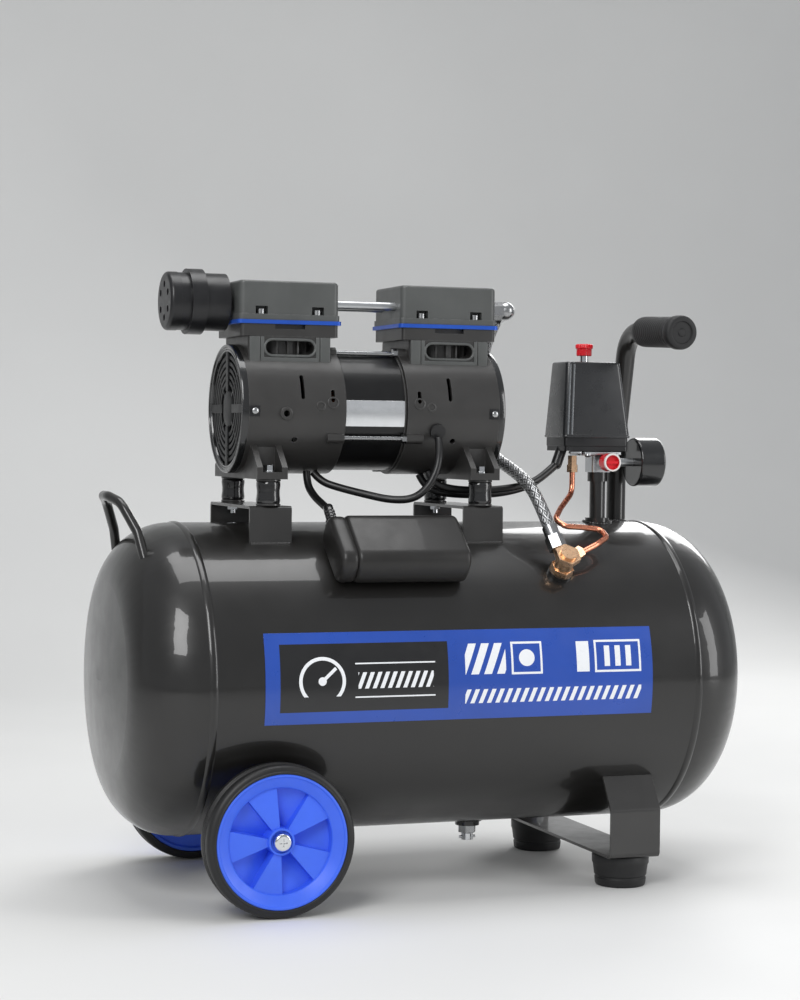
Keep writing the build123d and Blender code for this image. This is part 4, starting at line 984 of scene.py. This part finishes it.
@dataclass
class Wheel(Assembly):
    """One wheel: a dished rim with five blades, and its rubber tyre."""

    place: Side = Side.FRONT
    hub: float = 13.4
    dish: float = 52.0
    blades: int = 5
    wedge: float = 34.0
    first: float = 112.0

    def __post_init__(self) -> None:
        """Reads the wheel's place and sizes from the frame."""
        self.name = self.place.name.lower()
        self.side = self.place.value
        self.body = f"{self.name}_wheel"
        low, high = extent(f"{self.name}_tyre")
        self.radius = (high.x - low.x) / 2
        self.wide = high.y - low.y
        self.centre = (low + high) / 2
        self.face = low.y if self.side < 0 else high.y
        rim_low, rim_high = extent(f"{self.name}_rim")
        self.rim = (rim_high.x - rim_low.x) / 2

    def build(self) -> None:
        """Makes the rim and the tyre."""
        self.piece(f"{self.name}_wheel_rim", self.rim_shape(), WHEEL_BLUE, [f"{self.name}_rim"], smooth=24)
        self.piece(f"{self.name}_wheel_tyre", self.tyre_shape(), TYRE_RUBBER, [f"{self.name}_tyre"],
                   smooth=50)

    def angles(self) -> list[tuple[float, float]]:
        """The angles round the rim at which its skin has points.

        Returns:
            Each angle in degrees, with its place in its blade's fifth.
        """
        sector = 360 / self.blades
        phases = [self.wedge * k / 10 for k in range(11)]
        open_start, open_end = self.wedge + 0.5, sector - 0.5
        phases += [open_start + (open_end - open_start) * k / 11 for k in range(12)]
        first = self.first - self.wedge / 2
        starts = [first + sector * blade for blade in range(self.blades)]
        return [(start + phase, phase) for start in starts for phase in phases]

    def depth(self, radius: float, phase: float) -> float:
        """How deep the web lies below the face.

        Args:
            radius: The distance from the hub's axis.
            phase: The angle from the start of the blade, in degrees.

        Returns:
            The depth.
        """
        outward = (radius - self.hub) / (self.dish - self.hub)
        if phase <= self.wedge:
            return 7.0 + 1.6 * outward + 1.2 * phase / self.wedge
        across = (phase - self.wedge) / (360 / self.blades - self.wedge)
        return 15.5 + 6.0 * (1 - outward) + 3.5 * across

    def rim_shape(self) -> Shape:
        """The rim's whole skin: dish, blades, hub, back and barrel.

        Returns:
            The shape.
        """
        angles = self.angles()
        front: list[tuple[float, float | None]] = [
            (self.rim, 1.6), (self.rim - 0.5, 0.9), (self.rim - 1.4, 0.6), (self.rim - 2.6, 0.9),
            (self.rim - 3.4, 2.0), (self.dish + 1.4, 6.6), (self.dish + 0.5, 7.3), (self.dish, 8.2),
            (self.dish - 0.25, None), (self.dish - 13, None), (self.dish - 26, None), (self.hub + 0.25, None),
            (self.hub, 5.2), (self.hub - 0.4, 4.4), (self.hub - 2.2, 4.4), (self.hub - 2.6, 5.2),
            (self.hub - 2.8, 7.5), (5.3, 7.5), (5.3, 39.0), (self.hub - 1.2, 39.0), (self.hub, 38.0),
            (self.hub, 27.0), (self.rim - 5, 26.0), (self.rim - 4, self.wide - 4),
            (self.rim - 3.4, self.wide - 3.1), (self.rim - 0.6, self.wide - 3.1), (self.rim, self.wide - 3.6),
        ]
        rings = []
        for radius, level in front:
            ring = []
            for angle, phase in angles:
                c, s = turn(math.radians(angle))
                sunk = self.depth(radius, phase) if level is None else level
                ring.append(Vector((
                    self.centre.x + radius * c, self.face - self.side * sunk, self.centre.z + radius * s,
                )))
            rings.append(ring)
        return Shape().rings(rings, looped=True)

    def tyre_shape(self) -> Shape:
        """The tyre, with a lipped side wall and three fine ribs round its tread.

        Returns:
            The shape.
        """
        big, rim, wide = self.radius, self.rim, self.wide
        half = [
            (1.2, rim), (0.5, rim + 0.5), (0.2, rim + 1.4), (0.5, rim + 2.2), (1.3, rim + 2.7),
            (1.5, rim + 4.4), (2.2, rim + 6.2), (3.6, rim + 7.6), (5.6, rim + 8.4), (8.0, big - 0.35),
        ]
        ribs = []
        for middle in (wide / 2 - 3.4, wide / 2, wide / 2 + 3.4):
            ribs += [(middle - 1.1, big - 0.9), (middle - 0.6, big)]
            ribs += [(middle + 0.6, big), (middle + 1.1, big - 0.9)]
        profile = half + [(wide / 2 - 5.6, big - 0.35)] + ribs + [(wide / 2 + 5.6, big - 0.35)]
        profile += [(wide - depth, radius) for depth, radius in reversed(half)]
        origin = (self.centre.x, self.face, self.centre.z)
        return Shape().turned(profile, origin, (0, -self.side, 0), steps=120, looped=True)


@dataclass
class Feet(Assembly):
    """The two ribbed rubber feet."""

    def build(self) -> None:
        """Makes both feet as one piece."""
        low, high = extent("rubber_feet")
        radius = (high.x - low.x) / 2
        shape = Shape()
        for y in (low.y + radius, high.y - radius):
            origin = ((low.x + high.x) / 2, y, 0)
            profile = [
                (0, radius - 5.5), (0.6, radius - 4.2), (2.0, radius - 3.6), (8, radius - 2.9),
                (9, radius - 3.7), (10.4, radius - 3.7), (11.4, radius - 2.6), (22, radius - 1.2),
                (24, radius - 0.2), (31.5, radius), (high.z - 0.6, radius - 0.5), (high.z, radius - 1.6),
                (high.z, 4.2), (14, 4.2), (14, 9.0), (0.8, 9.0), (0, 10.0),
            ]
            shape.turned(profile, origin, (0, 0, 1), steps=72, looped=True)
        self.piece("rubber_feet_pair", shape, RUBBER, ["rubber_feet"])


@dataclass
class Pump(Assembly):
    """The pump's mounts and the raised details on its castings."""

    mount_r: float = 12.5
    plate_angles: tuple[float, float] = (-15.5, 9.0)
    plate_thick: float = 0.4
    block_half: float = 44.0
    trim_base: float = 541.0
    trim_top: float = 567.4
    window_levels: tuple[float, float] = (548.2, 564.8)
    window_half: float = 27.2
    slot_rings: tuple[float, ...] = (53.0, 46.5, 40.0, 33.5, 27.0)

    def __post_init__(self) -> None:
        """Reads the motor's axis and sizes from the frame."""
        low, high = extent("stator_core")
        self.axis_x = (low.x + high.x) / 2
        self.axis_z = (low.z + high.z) / 2
        self.stator_r = (high.z - low.z) / 2
        self.stator_half = (high.x - low.x) / 2
        cover_low, cover_high = extent("fan_covers")
        self.case_r = (cover_high.y - cover_low.y) / 2

    def build(self) -> None:
        """Makes the mounts, nameplate, bosses, lips and grilles."""
        self.mounts()
        self.nameplate()
        self.fronts()
        self.block_fronts()
        for side, name in ((-1, "left"), (1, "right")):
            self.fan_cover(side, name)

    def mounts(self) -> None:
        """Four rubber mounts between steel cups."""
        low, high = extent("rubber_mounts")
        radius = self.mount_r
        tall = high.z - low.z
        body = [
            (2.2, 3.2), (2.2, radius - 1.1), (3.2, radius - 0.4), (6, radius - 0.2),
            (tall / 2 - 2, radius - 0.9), (tall / 2 + 2, radius - 0.9), (tall - 6, radius - 0.2),
            (tall - 3.2, radius - 0.4), (tall - 2.2, radius - 1.1), (tall - 2.2, 3.2),
        ]
        cup = [(0, 3.2), (0, radius - 0.5), (0.5, radius), (1.9, radius), (2.4, radius - 0.5), (2.4, 3.2)]
        rubber, cups = Shape(), Shape()
        for x in (low.x + radius, high.x - radius):
            for y in (low.y + radius, high.y - radius):
                rubber.turned(body, (x, y, low.z), (0, 0, 1), steps=48, looped=True)
                for base in (0.0, tall - 2.4):
                    cups.turned(cup, (x, y, low.z + base), (0, 0, 1), steps=48, looped=True)
        self.piece("mount_rubbers", rubber, GLOSS_RUBBER, ["rubber_mounts"])
        self.piece("mount_cups", cups, BRACKET_PAINT)

    def nameplate(self) -> None:
        """The bright plate round the front of the motor, and the motor's end bands."""
        half = self.stator_half - 1.5
        ends = (self.axis_x - half, self.axis_x + half)
        centre = (0.0, self.axis_z)
        angles = (math.radians(self.plate_angles[0]), math.radians(self.plate_angles[1]))
        plate = Shape().patch(ends, angles, (self.stator_r, self.stator_r + self.plate_thick), centre, 16)
        self.piece("motor_nameplate", plate, NAMEPLATE)
        bands = Shape()
        for x in (self.axis_x - self.stator_half + 0.1, self.axis_x + self.stator_half - 2.1):
            band = [(0, self.stator_r - 1), (0, self.stator_r + 0.9), (0.4, self.stator_r + 1.3),
                    (1.6, self.stator_r + 1.3), (2, self.stator_r + 0.9), (2, self.stator_r - 1)]
            bands.turned(band, (x, 0, self.axis_z), (1, 0, 0), steps=96, looped=True)
        self.piece("motor_end_bands", bands, CAST_GREY)

    def on_case(self, u: float, angle: float, radius: float) -> tuple[Vector, Vector]:
        """A point on the case and the outward direction there.

        Args:
            u: The distance from the motor's middle along X.
            angle: The angle above the front, in degrees.
            radius: The distance from the axis.

        Returns:
            The point and the direction.
        """
        c, s = turn(math.radians(angle))
        out = Vector((0, -c, s))
        return Vector((self.axis_x + u, 0, self.axis_z)) + out * radius, out

    def fronts(self) -> None:
        """Small cast bosses, the rim screws and their square seats."""
        bosses, seats, screws = Shape(), Shape(), Shape()
        for side in (-1, 1):
            point, out = self.on_case(side * 60, 3, self.case_r - 0.6)
            boss = [(0, 5.2), (0.9, 5.0), (1.2, 4.4), (1.2, 3.2), (0.4, 2.8), (0.4, 0)]
            bosses.turned([(0, 0)] + boss, point, out, steps=32)
            point, out = self.on_case(side * 47, 6, self.case_r - 0.6)
            ring = [(0, 6.4), (1.0, 6.2), (1.3, 5.6), (1.3, 4.6), (0.6, 4.2), (0, 4.2)]
            bosses.turned(ring, point, out, steps=32, looped=True)
            for angle in (-2, 178):
                point, out = self.on_case(side * 130, angle, self.case_r - 0.4)
                across = Vector((1, 0, 0))
                seats.rounded((-5.5, -5.5, -1.0), (5.5, 5.5, 0.9), 1.0, 0.3,
                              frame_of=framed(across, out.cross(across), out, point))
                head = [(0.8, 0), (0.8, 3.4), (2.6, 3.4), (3.3, 2.6), (3.5, 0)]
                screws.turned(head, point, out, steps=24)
        point, out = self.on_case(-97, -4, self.case_r + 0.4)
        bosses.turned([(0, 6.8), (1.2, 6.6), (1.6, 6.0), (1.6, 4.2), (0.8, 3.6), (0, 3.6)], point, out,
                      steps=40, looped=True)
        self.piece("case_bosses", bosses, CAST_GREY)
        self.piece("rim_screw_seats", seats, BLACK_PLASTIC)
        self.piece("rim_screws", screws, STEEL)

    def block_fronts(self) -> None:
        """The pilasters and the lip round the window, on the front and back of each block."""
        trim = Shape()
        half, base, top = self.block_half, self.trim_base, self.trim_top
        for name in ("left", "right"):
            low, high = extent(f"{name}_head_cover")
            middle = (low.x + high.x) / 2
            for side in (-1, 1):
                face = side * half
                for x in (middle - half + 1, middle + half - 12):
                    y0, y1 = sorted((face - side * 2, face + side * 1.6))
                    trim.rounded((x, y0, base), (x + 11, y1, top), 1.2, 0.4)
                y0, y1 = sorted((face - side * 2, face + side * 1.4))
                trim.rounded((middle - 29, y0, base + 0.5), (middle + 29, y1, base + 5.5), 1.2, 0.5)
                for x in (middle - 31.5, middle + 27.5):
                    trim.rounded((x, y0, base + 0.5), (x + 4, y1, top), 1.0, 0.4)
                self.window_lip(trim, middle, face)
        self.piece("block_trim", trim, HEAD_GREY)

    def window_lip(self, trim: Shape, middle: float, face: float) -> None:
        """Adds the raised lip round one window.

        Args:
            trim: The shape that it is added to.
            middle: The window's middle along X.
            face: The y of the block's face.
        """
        (low, high), half = self.window_levels, self.window_half
        radius = (high - low) / 2
        path = []
        for start, cx in ((-90, middle + half - radius), (90, middle - half + radius)):
            for step in range(9):
                c, s = turn(math.radians(start + 180 * step / 8))
                path.append(Vector((cx + radius * c, face, (low + high) / 2 + radius * s)))
        path.append(path[0])
        trim.swept(path, 1.5, 10)
        trim.plan.clear()

    def fan_cover(self, side: int, name: str) -> None:
        """One end's cover: a rolled rim, a dished web with a cross of spokes, slots and a hub, with a dark
        smoked sheet behind the slots as painted shade for the cover's open inside.

        Args:
            side: -1 for the left end, 1 for the right.
            name: The end's name.
        """
        low, high = extent("fan_covers")
        tip = low.x if side < 0 else high.x
        rim, web = Shape(), Shape()
        origin = (tip, 0, self.axis_z)
        inward = (-side, 0, 0)
        big = self.case_r
        profile = [
            (7, big), (1.8, big), (0.5, big - 0.6), (0, big - 1.8), (0.3, big - 3.0), (1.4, big - 3.6),
            (2.0, big - 5.0), (1.2, big - 6.2), (1.4, big - 7.6), (3.0, big - 8.4), (7, big - 8.4),
        ]
        rim.turned(profile, origin, inward, steps=120, looped=True)
        for radius in self.slot_rings:
            ring = [(3.4, radius + 2.1), (2.9, radius + 1.6), (2.9, radius - 1.6), (3.4, radius - 2.1),
                    (5.4, radius - 2.1), (5.4, radius + 2.1)]
            web.turned(ring, origin, inward, steps=96, looped=True)
        hub = [(2.0, 0), (2.0, 11), (2.6, 14), (3.2, 18.6), (3.8, 19.4), (5.6, 19.4), (5.6, 0)]
        web.turned(hub, origin, inward, steps=72)
        # A dark smoked sheet behind the slot rings: painted shade where the cover's open inside would show.
        sheet = [(5.6, 18), (5.6, big - 8.0), (6.6, big - 8.0), (6.6, 18)]
        shade_sheet = Shape().turned(sheet, origin, inward, steps=96, looped=True)
        for step in range(8):
            c, s = turn(math.radians(45 * step))
            radial, across, out = Vector((0, c, s)), Vector((0, -s, c)), Vector((side, 0, 0))
            wide, top = (4.4, -1.9) if step % 2 == 0 else (1.6, -3.2)
            web.rounded((18, -wide, -5.4), (big - 7.8, wide, top), 0.5, 0.35,
                        frame_of=framed(radial, across, out, origin))
        nodes = ["fan_covers"] if side < 0 else []
        self.piece(f"{name}_fan_cover_rim", rim, GLOSS_BLACK, nodes)
        self.piece(f"{name}_fan_cover_web", web, SMOKED)
        # The sheet behind the slots is painted shade.
        self.piece(f"{name}_fan_cover_screen", shade_sheet, SMOKED)


@dataclass
class Switch(Assembly):
    """The pressure switch's cover, knob and fittings, and the gauge's face."""

    dial_start: float = 225.0
    dial_step: float = 6.75
    dial_steps: int = 40
    marks_r: float = 20.6
    numbers_r: float = 13.2
    number_high: float = 4.2
    gauge_y: float = -12.0
    nut_seat: float = 222.0
    nut_across: float = 14.6
    nut_high: float = 9.5

    def build(self) -> None:
        """Makes the cover, skirt, ribs, knob, fittings and dial marks."""
        low, high = extent("switch_cover")
        self.cover(low, high)
        self.fittings()
        self.outlet_ring()
        self.knob()
        self.dial_marks()
        self.dial_numbers()

    def cover(self, low: Vector, high: Vector) -> None:
        """The tapered cover with its double rib, and the skirt under it.

        Args:
            low: The cover node's low corner.
            high: The cover node's high corner.
        """
        shell = Shape().rounded(
            (low.x, low.y, low.z + 7.5), (high.x - 2, high.y - 3, high.z - 1.5), 5.0, 2.2,
            taper=(3.0, 12.0, 1.5, 11.0),
        )
        self.piece("switch_cover_shell", shell, SWITCH_PLASTIC, ["switch_cover"], smooth=45)
        skirt = Shape().rounded(
            (low.x + 1.6, low.y + 1.6, low.z - 3), (high.x - 3.6, high.y - 4.6, low.z + 8.5), 4.0, 0.8,
        )
        lip = Shape().rounded(
            (low.x - 0.4, low.y - 0.4, low.z + 6.3), (high.x - 1.6, high.y - 2.6, low.z + 9.0), 5.2, 0.9,
        )
        self.piece("switch_skirt", skirt, BLACK_PLASTIC)
        self.piece("switch_lip", lip, SWITCH_PLASTIC)
        ribs = Shape()
        for shift in (4.0, 8.6):
            foot = Vector((low.x + shift, low.y - 0.1, low.z + 9.5))
            top = Vector((low.x + shift + 2.7, low.y + 1.35, high.z - 4))
            ribs.swept([foot, foot.lerp(top, 0.5), top], 1.15, 12)
        ribs.plan.clear()
        # The ribs' light grey colour is a painted highlight on black plastic.
        self.piece("switch_cover_ribs", ribs, RIB_PAINTED_HIGHLIGHT)

    def knob(self) -> None:
        """The fluted red stop knob, which rides on its own body."""
        low, high = extent("switch_knob")
        x, y = (low.x + high.x) / 2, (low.y + high.y) / 2
        cap = [
            (0, 0), (0, 7.4), (0.6, 8.2), (7.4, 8.2), (8.2, 9.3), (11.6, 9.5), (12.5, 8.9), (13, 7.6),
            (12.2, 5.5), (12.0, 0),
        ]
        rod = [(0, 0), (0, 4.6), (19.4, 4.6), (19.4, 0)]
        head = Shape().turned(cap, (x, y, high.z - 13), (0, 0, 1), steps=120, flutes=20, flute=0.5)
        stem = Shape().turned(rod, (x, y, low.z + 0.4), (0, 0, 1), steps=32)
        knob = Assembly(body="stop_knob")
        knob.piece("stop_knob_head", head, RED_PLASTIC, ["switch_knob"])
        knob.piece("stop_knob_stem", stem, CHROME)

    def fittings(self) -> None:
        """The bright plate and screws over the manifold, and the gauge's nut."""
        low, high = extent("manifold")
        base = extent("switch_base")[0]
        plates = Shape().rounded(
            (low.x + 1, base.y + 1.5, high.z - 3.2), (low.x + 45, low.y + 4, high.z + 0.4), 2.5, 0.7,
        )
        plates.rounded((low.x - 15, base.y + 3, high.z - 2), (low.x - 1, low.y + 6, high.z + 0.6), 2.0, 0.6)
        head = [(0, 0), (0, 3.6), (2.2, 3.6), (3.0, 2.6), (3.1, 0)]
        for x in (low.x + 6, low.x + 39):
            plates.turned(head, (x, base.y + 4.5, high.z - 2.6), (0, -0.35, -1), steps=24)
        self.piece("manifold_plates", plates, ALUMINIUM)
        z = low.z + 11
        nut = Shape().nut((self.nut_seat, self.gauge_y, z), (1, 0, 0), self.nut_across, self.nut_high)
        collar = [(0, 0), (0, 6.2), (2.6, 5.4), (2.6, 0)]
        nut.turned(collar, (self.nut_seat + self.nut_high - 0.1, self.gauge_y, z), (1, 0, 0), steps=32)
        self.piece("gauge_nut", nut, BRASS, smooth=20)

    def outlet_ring(self) -> None:
        """The white ring round the outlet knob, which turns with it."""
        low, high = extent("outlet_knob")
        radius = (high.x - low.x) / 2
        profile = [
            (0, radius - 1.9), (-0.6, radius - 1.6), (-0.8, radius - 0.9), (-0.6, radius - 0.2),
            (0.4, radius + 0.15), (1.5, radius + 0.15), (1.5, radius - 1.9),
        ]
        origin = ((low.x + high.x) / 2, low.y, (low.z + high.z) / 2)
        ring = Shape().turned(profile, origin, (0, 1, 0), steps=64, looped=True)
        Assembly(body="outlet_knob").piece("outlet_knob_ring", ring, KNOB_WHITE)

    def on_dial(self, step: int, radius: float) -> tuple[Vector, Vector]:
        """A point on the dial's card and the outward direction there.

        Args:
            step: The mark, counted from the start of the scale.
            radius: The distance from the dial's middle.

        Returns:
            The point and the direction.
        """
        low, high = extent("gauge_dial")
        c, s = turn(math.radians(self.dial_start - step * self.dial_step))
        radial = Vector((0, c, s))
        middle = Vector((low.x + 1.5, (low.y + high.y) / 2, (low.z + high.z) / 2))
        return middle + radial * radius, radial

    def dial_marks(self) -> None:
        """The printed marks on the gauge's dial, with every fifth one longer."""
        marks = Shape()
        out = Vector((1, 0, 0))
        for step in range(self.dial_steps + 1):
            long, wide = (3.6, 0.35) if step % 5 == 0 else (1.9, 0.18)
            middle, radial = self.on_dial(step, 0.0)
            marks.rounded((self.marks_r - long, -wide, -0.1), (self.marks_r, wide, 0.12), 0.1,
                          frame_of=framed(radial, out.cross(radial), out, middle))
        self.piece("dial_marks", marks, INK)

    def dial_numbers(self) -> None:
        """The pressure in bar beside every second long mark."""
        for step in range(0, 9, 2):
            text = bpy.data.curves.new(f"dial_number_{step}", "FONT")
            text.body = str(step * 2)
            text.size = self.number_high * MM
            text.extrude = 0.06 * MM
            text.align_x, text.align_y = "CENTER", "CENTER"
            text.materials.append(INK.dressed())
            made = linked(f"dial_number_{step}", text)
            made.rotation_euler = (math.pi / 2, 0, math.pi / 2)
            place, _ = self.on_dial(step * 5, self.numbers_r)
            made.location = mm(place.x + 0.08, place.y, place.z)
            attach(made, self.body)


@dataclass
class Grip(Assembly):
    """The moulded grip on the pull handle."""

    length: float = 91.0
    droop: float = 6 / 127
    bore: float = 10.7
    ribs: int = 14
    rib_pitch: float = 4.6

    def build(self) -> None:
        """Makes the grip along its tilted tube."""
        low, high = extent("handle_grip")
        tilt = Vector((0, -1, -self.droop)).normalized()
        radius = (high.x - low.x) / 2
        end = Vector(((low.x + high.x) / 2, low.y + 0.8, low.z + radius + 0.3))
        start = end - tilt * self.length
        sleeve = radius - 1.5
        bore = self.bore
        profile = [(0, bore), (0, sleeve - 1.6), (1.2, sleeve - 0.6), (3, sleeve - 0.2)]
        for rib in range(self.ribs):
            place = 8 + rib * self.rib_pitch
            profile += [(place, sleeve), (place + 0.7, sleeve - 0.55), (place + 1.5, sleeve - 0.55),
                        (place + 2.2, sleeve)]
        last = self.length
        profile += [
            (last - 17, sleeve), (last - 15.5, sleeve - 1.2), (last - 14.0, sleeve - 1.2),
            (last - 12.4, radius - 0.6), (last - 11, radius), (last - 3.4, radius),
            (last - 1.4, radius - 0.8), (last - 0.3, radius - 2.4), (last, radius - 4.0),
            (last - 0.2, radius - 6.0), (last - 1.6, radius - 6.8), (last - 1.6, 4.5), (last - 0.6, 3.6),
            (last - 0.4, 0),
            (last - 5, 0), (last - 5, bore),
        ]
        self.piece("pull_handle_grip", Shape().turned(profile, start, tilt, steps=96, looped=True), FOAM,
                   ["handle_grip"])


@dataclass
class CapacitorBox(Assembly):
    """The rounded box for the run capacitor, on the shell's shoulder."""

    tilt: float = 40.0
    deep: float = 74.0
    high: float = 40.0
    lift: float = 179.5
    lead_end: Point = (-119.0, -76.0, 392.0)

    def build(self) -> None:
        """Makes the shell, its end cap and the boot round the cable."""
        low, high = extent("capacitor_box")
        shell_low, shell_high = extent("tank_shell")
        s, c = math.sin(math.radians(self.tilt)), math.cos(math.radians(self.tilt))
        out, across, along = Vector((0, -s, c)), Vector((0, c, s)), Vector((1, 0, 0))
        middle = Vector(((low.x + high.x) / 2, 0, (shell_low.z + shell_high.z) / 2)) + out * self.lift
        frame_of = framed(across, out, along, middle)
        long, half = (high.x - low.x) / 2, self.deep / 2
        body = Shape().rounded((-half, -self.high / 2, -long + 17), (half, self.high / 2, long), 15.0, 5.0,
                               frame_of=frame_of)
        cap = Shape().rounded((-half + 0.8, -self.high / 2, -long),
                              (half - 0.8, self.high / 2 - 0.8, -long + 19), 14.6, 6.0, frame_of=frame_of)
        self.piece("capacitor_cover", body, GREY_PLASTIC, ["capacitor_box"], smooth=50)
        self.piece("capacitor_end_cap", cap, GREY_PLASTIC, smooth=50)
        end = Vector(self.lead_end)
        inward = Vector((0, middle.y - end.y, middle.z - end.z))
        boot = [(-4.5, 4.05), (-4.5, 4.9), (-3.0, 5.5), (3.0, 5.5)]
        for rib in range(3):
            boot += [(4.0 + 4 * rib, 5.5), (5.0 + 4 * rib, 4.7), (6.0 + 4 * rib, 4.7), (7.0 + 4 * rib, 5.5)]
        boot += [(16.5, 7.5), (21, 8.5), (21, 0), (0.5, 0), (0, 4.05)]
        self.piece("capacitor_boot", Shape().turned(boot, end, inward, steps=40, looped=True), GLOSS_RUBBER)


@dataclass
class Cords:
    """The braided discharge hose and the four cables."""

    hose_radius: float = 6.75
    cable_wide: float = 8.0

    def build(self) -> None:
        """Makes every flexible line along its own route."""
        self.hose()
        self.leads()

    def hose(self) -> None:
        """The braided hose as a tube round its smooth centreline."""
        line = Line(
            "braided_hose", "tank",
            ((0.103, 0.022, 0.597), (0.103, 0.0466, 0.5798), (0.102, 0.0646, 0.551), (0.1, 0.0693, 0.5173),
             (0.098, 0.06, 0.4846), (0.097, 0.038, 0.4586), (0.099, 0.008, 0.4435), (0.104, -0.024, 0.433),
             (0.108, -0.056, 0.42), (0.108, -0.086, 0.402), (0.11296, -0.10273, 0.37531)),
            2 * self.hose_radius * MM, 0.333, STEEL_BRAID,
        )
        guide = line.spline("hose_guide", 0.0)
        read = bpy.data.meshes.new_from_object(guide)
        path = [v.co.copy() for v in read.vertices]
        bpy.data.objects.remove(guide)
        shape = Shape().swept([p / MM for p in path], self.hose_radius, 32)
        maker = Assembly()
        made = maker.piece(line.name, shape, STEEL_BRAID, ["discharge_hose"], smooth=60)
        line.declared(made)

    def leads(self) -> None:
        """The motor's two cables and the switch's two cables."""
        routes = (
            ("capacitor_lead", "motor_leads", 0.070, (
                (-0.126, -0.022, 0.430), (-0.127, -0.027, 0.417), (-0.124, -0.042, 0.405),
                (-0.120, -0.060, 0.397), (-0.119, -0.076, 0.392))),
            ("motor_lead", "motor_leads", 0.188, (
                (-0.118, -0.020, 0.429), (-0.112, -0.026, 0.420), (-0.096, -0.036, 0.414),
                (-0.074, -0.050, 0.408), (-0.050, -0.066, 0.402), (-0.029, -0.078, 0.403),
                (-0.015, -0.084, 0.415), (-0.005, -0.084, 0.434), (0.0, -0.078, 0.452),
                (0.002, -0.068, 0.465))),
            ("switch_lead_front", "switch_leads", 0.167, (
                (0.008, -0.022, 0.431), (0.012, -0.025, 0.419), (0.028, -0.029, 0.413),
                (0.054, -0.032, 0.411), (0.084, -0.033, 0.412), (0.112, -0.031, 0.416),
                (0.136, -0.026, 0.424), (0.157, -0.018, 0.440))),
            ("switch_lead_rear", "switch_leads", 0.178, (
                (0.004, -0.006, 0.4275), (0.009, -0.009, 0.415), (0.026, -0.013, 0.408),
                (0.054, -0.016, 0.406), (0.086, -0.017, 0.407), (0.116, -0.015, 0.412),
                (0.141, -0.011, 0.422), (0.163, -0.006, 0.439))),
        )
        for name, node, length, points in routes:
            made = Line(name, "tank", points, self.cable_wide * MM, length, CABLE_BLACK).cable()
            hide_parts(node)


@dataclass
class Studio:
    """The pale floor, the soft lights and the camera."""

    place: Point = (-0.8406, -2.2797, 0.4686)
    yaw: float = math.radians(19.91)
    pitch: float = math.radians(1.62)
    roll: float = math.radians(0.65)
    lens: float = 82.36
    floor_colour: Colour = (0.74, 0.74, 0.73)

    def camera(self) -> None:
        """Sets the camera at its place over the floor."""
        (cy, sy), (cp, sp), (cr, sr) = (turn(a) for a in (self.yaw, self.pitch, self.roll))
        ahead = Vector((sy * cp, cy * cp, -sp))
        right = Vector((cy, -sy, 0))
        up = right.cross(ahead)
        across, over = right * cr + up * sr, up * cr - right * sr
        data = bpy.data.cameras.new("camera")
        data.lens = self.lens
        data.sensor_width = 36
        made = linked("camera", data)
        made.matrix_world = framed(across, over, -ahead, self.place)
        bpy.context.scene.camera = made

    def floor(self) -> None:
        """A wide pale floor that curves up into a backdrop."""
        width, front, back, bend = 12.0, -12.0, 3.2, 1.4
        profile = [(front, 0.0), (back - bend, 0.0)]
        for step in range(1, 13):
            c, s = turn(step / 12 * math.pi / 2)
            profile.append((back - bend + bend * s, bend - bend * c))
        profile.append((back, 5.0))
        points = [(x, y, z) for y, z in profile for x in (-width, width)]
        faces = [(2 * i, 2 * i + 1, 2 * i + 3, 2 * i + 2) for i in range(len(profile) - 1)]
        mesh = bpy.data.meshes.new("floor")
        mesh.from_pydata(points, [], faces)
        mesh.shade_smooth()
        made = linked("floor", mesh)
        card = Finish("floor_card", "", self.floor_colour, 0.7, mottle=0.02, patch=600, grain=0.05, edge=0.1)
        mesh.materials.append(card.dressed())

    @staticmethod
    def light(name: str, place: Point, aim: Point, size: tuple[float, float], power: float) -> None:
        """One soft rectangular light.

        Args:
            name: The light's name.
            place: Where it is.
            aim: The point that it faces.
            size: Its width and height.
            power: Its power in watts.
        """
        data = bpy.data.lights.new(name, "AREA")
        data.shape = "RECTANGLE"
        data.size, data.size_y = size
        data.energy = power
        made = linked(name, data)
        made.location = place
        made.rotation_euler = (Vector(aim) - Vector(place)).to_track_quat("-Z", "Y").to_euler()

    def lights(self) -> None:
        """A key, a fill, a top light and a rim light, with a dim pale surround."""
        aim = (0.0, 0.0, 0.33)
        self.light("key_light", (-1.5, -1.9, 1.9), aim, (1.0, 1.6), 40)
        self.light("fill_light", (1.9, -1.5, 0.9), aim, (0.7, 1.6), 16)
        self.light("top_light", (0.0, 0.1, 2.4), aim, (1.6, 1.2), 24)
        self.light("rim_light", (1.6, 1.8, 1.5), aim, (1.0, 1.4), 22)
        world = bpy.data.worlds.new("surround")
        world.use_nodes = True
        background = world.node_tree.nodes["Background"]
        background.inputs["Color"].default_value = (0.8, 0.82, 0.85, 1)
        background.inputs["Strength"].default_value = 0.5
        bpy.context.scene.world = world
        bpy.context.scene.view_settings.view_transform = "Standard"


def main() -> None:
    """Builds every piece round the frame, in order."""
    logging.basicConfig(level=logging.INFO, format="%(name)s: %(message)s")
    studio = Studio()
    studio.camera()
    studio.floor()
    studio.lights()
    dress_nodes()
    Tank().build()
    for place in Side:
        Wheel(place=place).build()
    Feet().build()
    Pump().build()
    Switch().build()
    Grip().build()
    CapacitorBox().build()
    Cords().build()


if __name__ == "__main__":
    main()
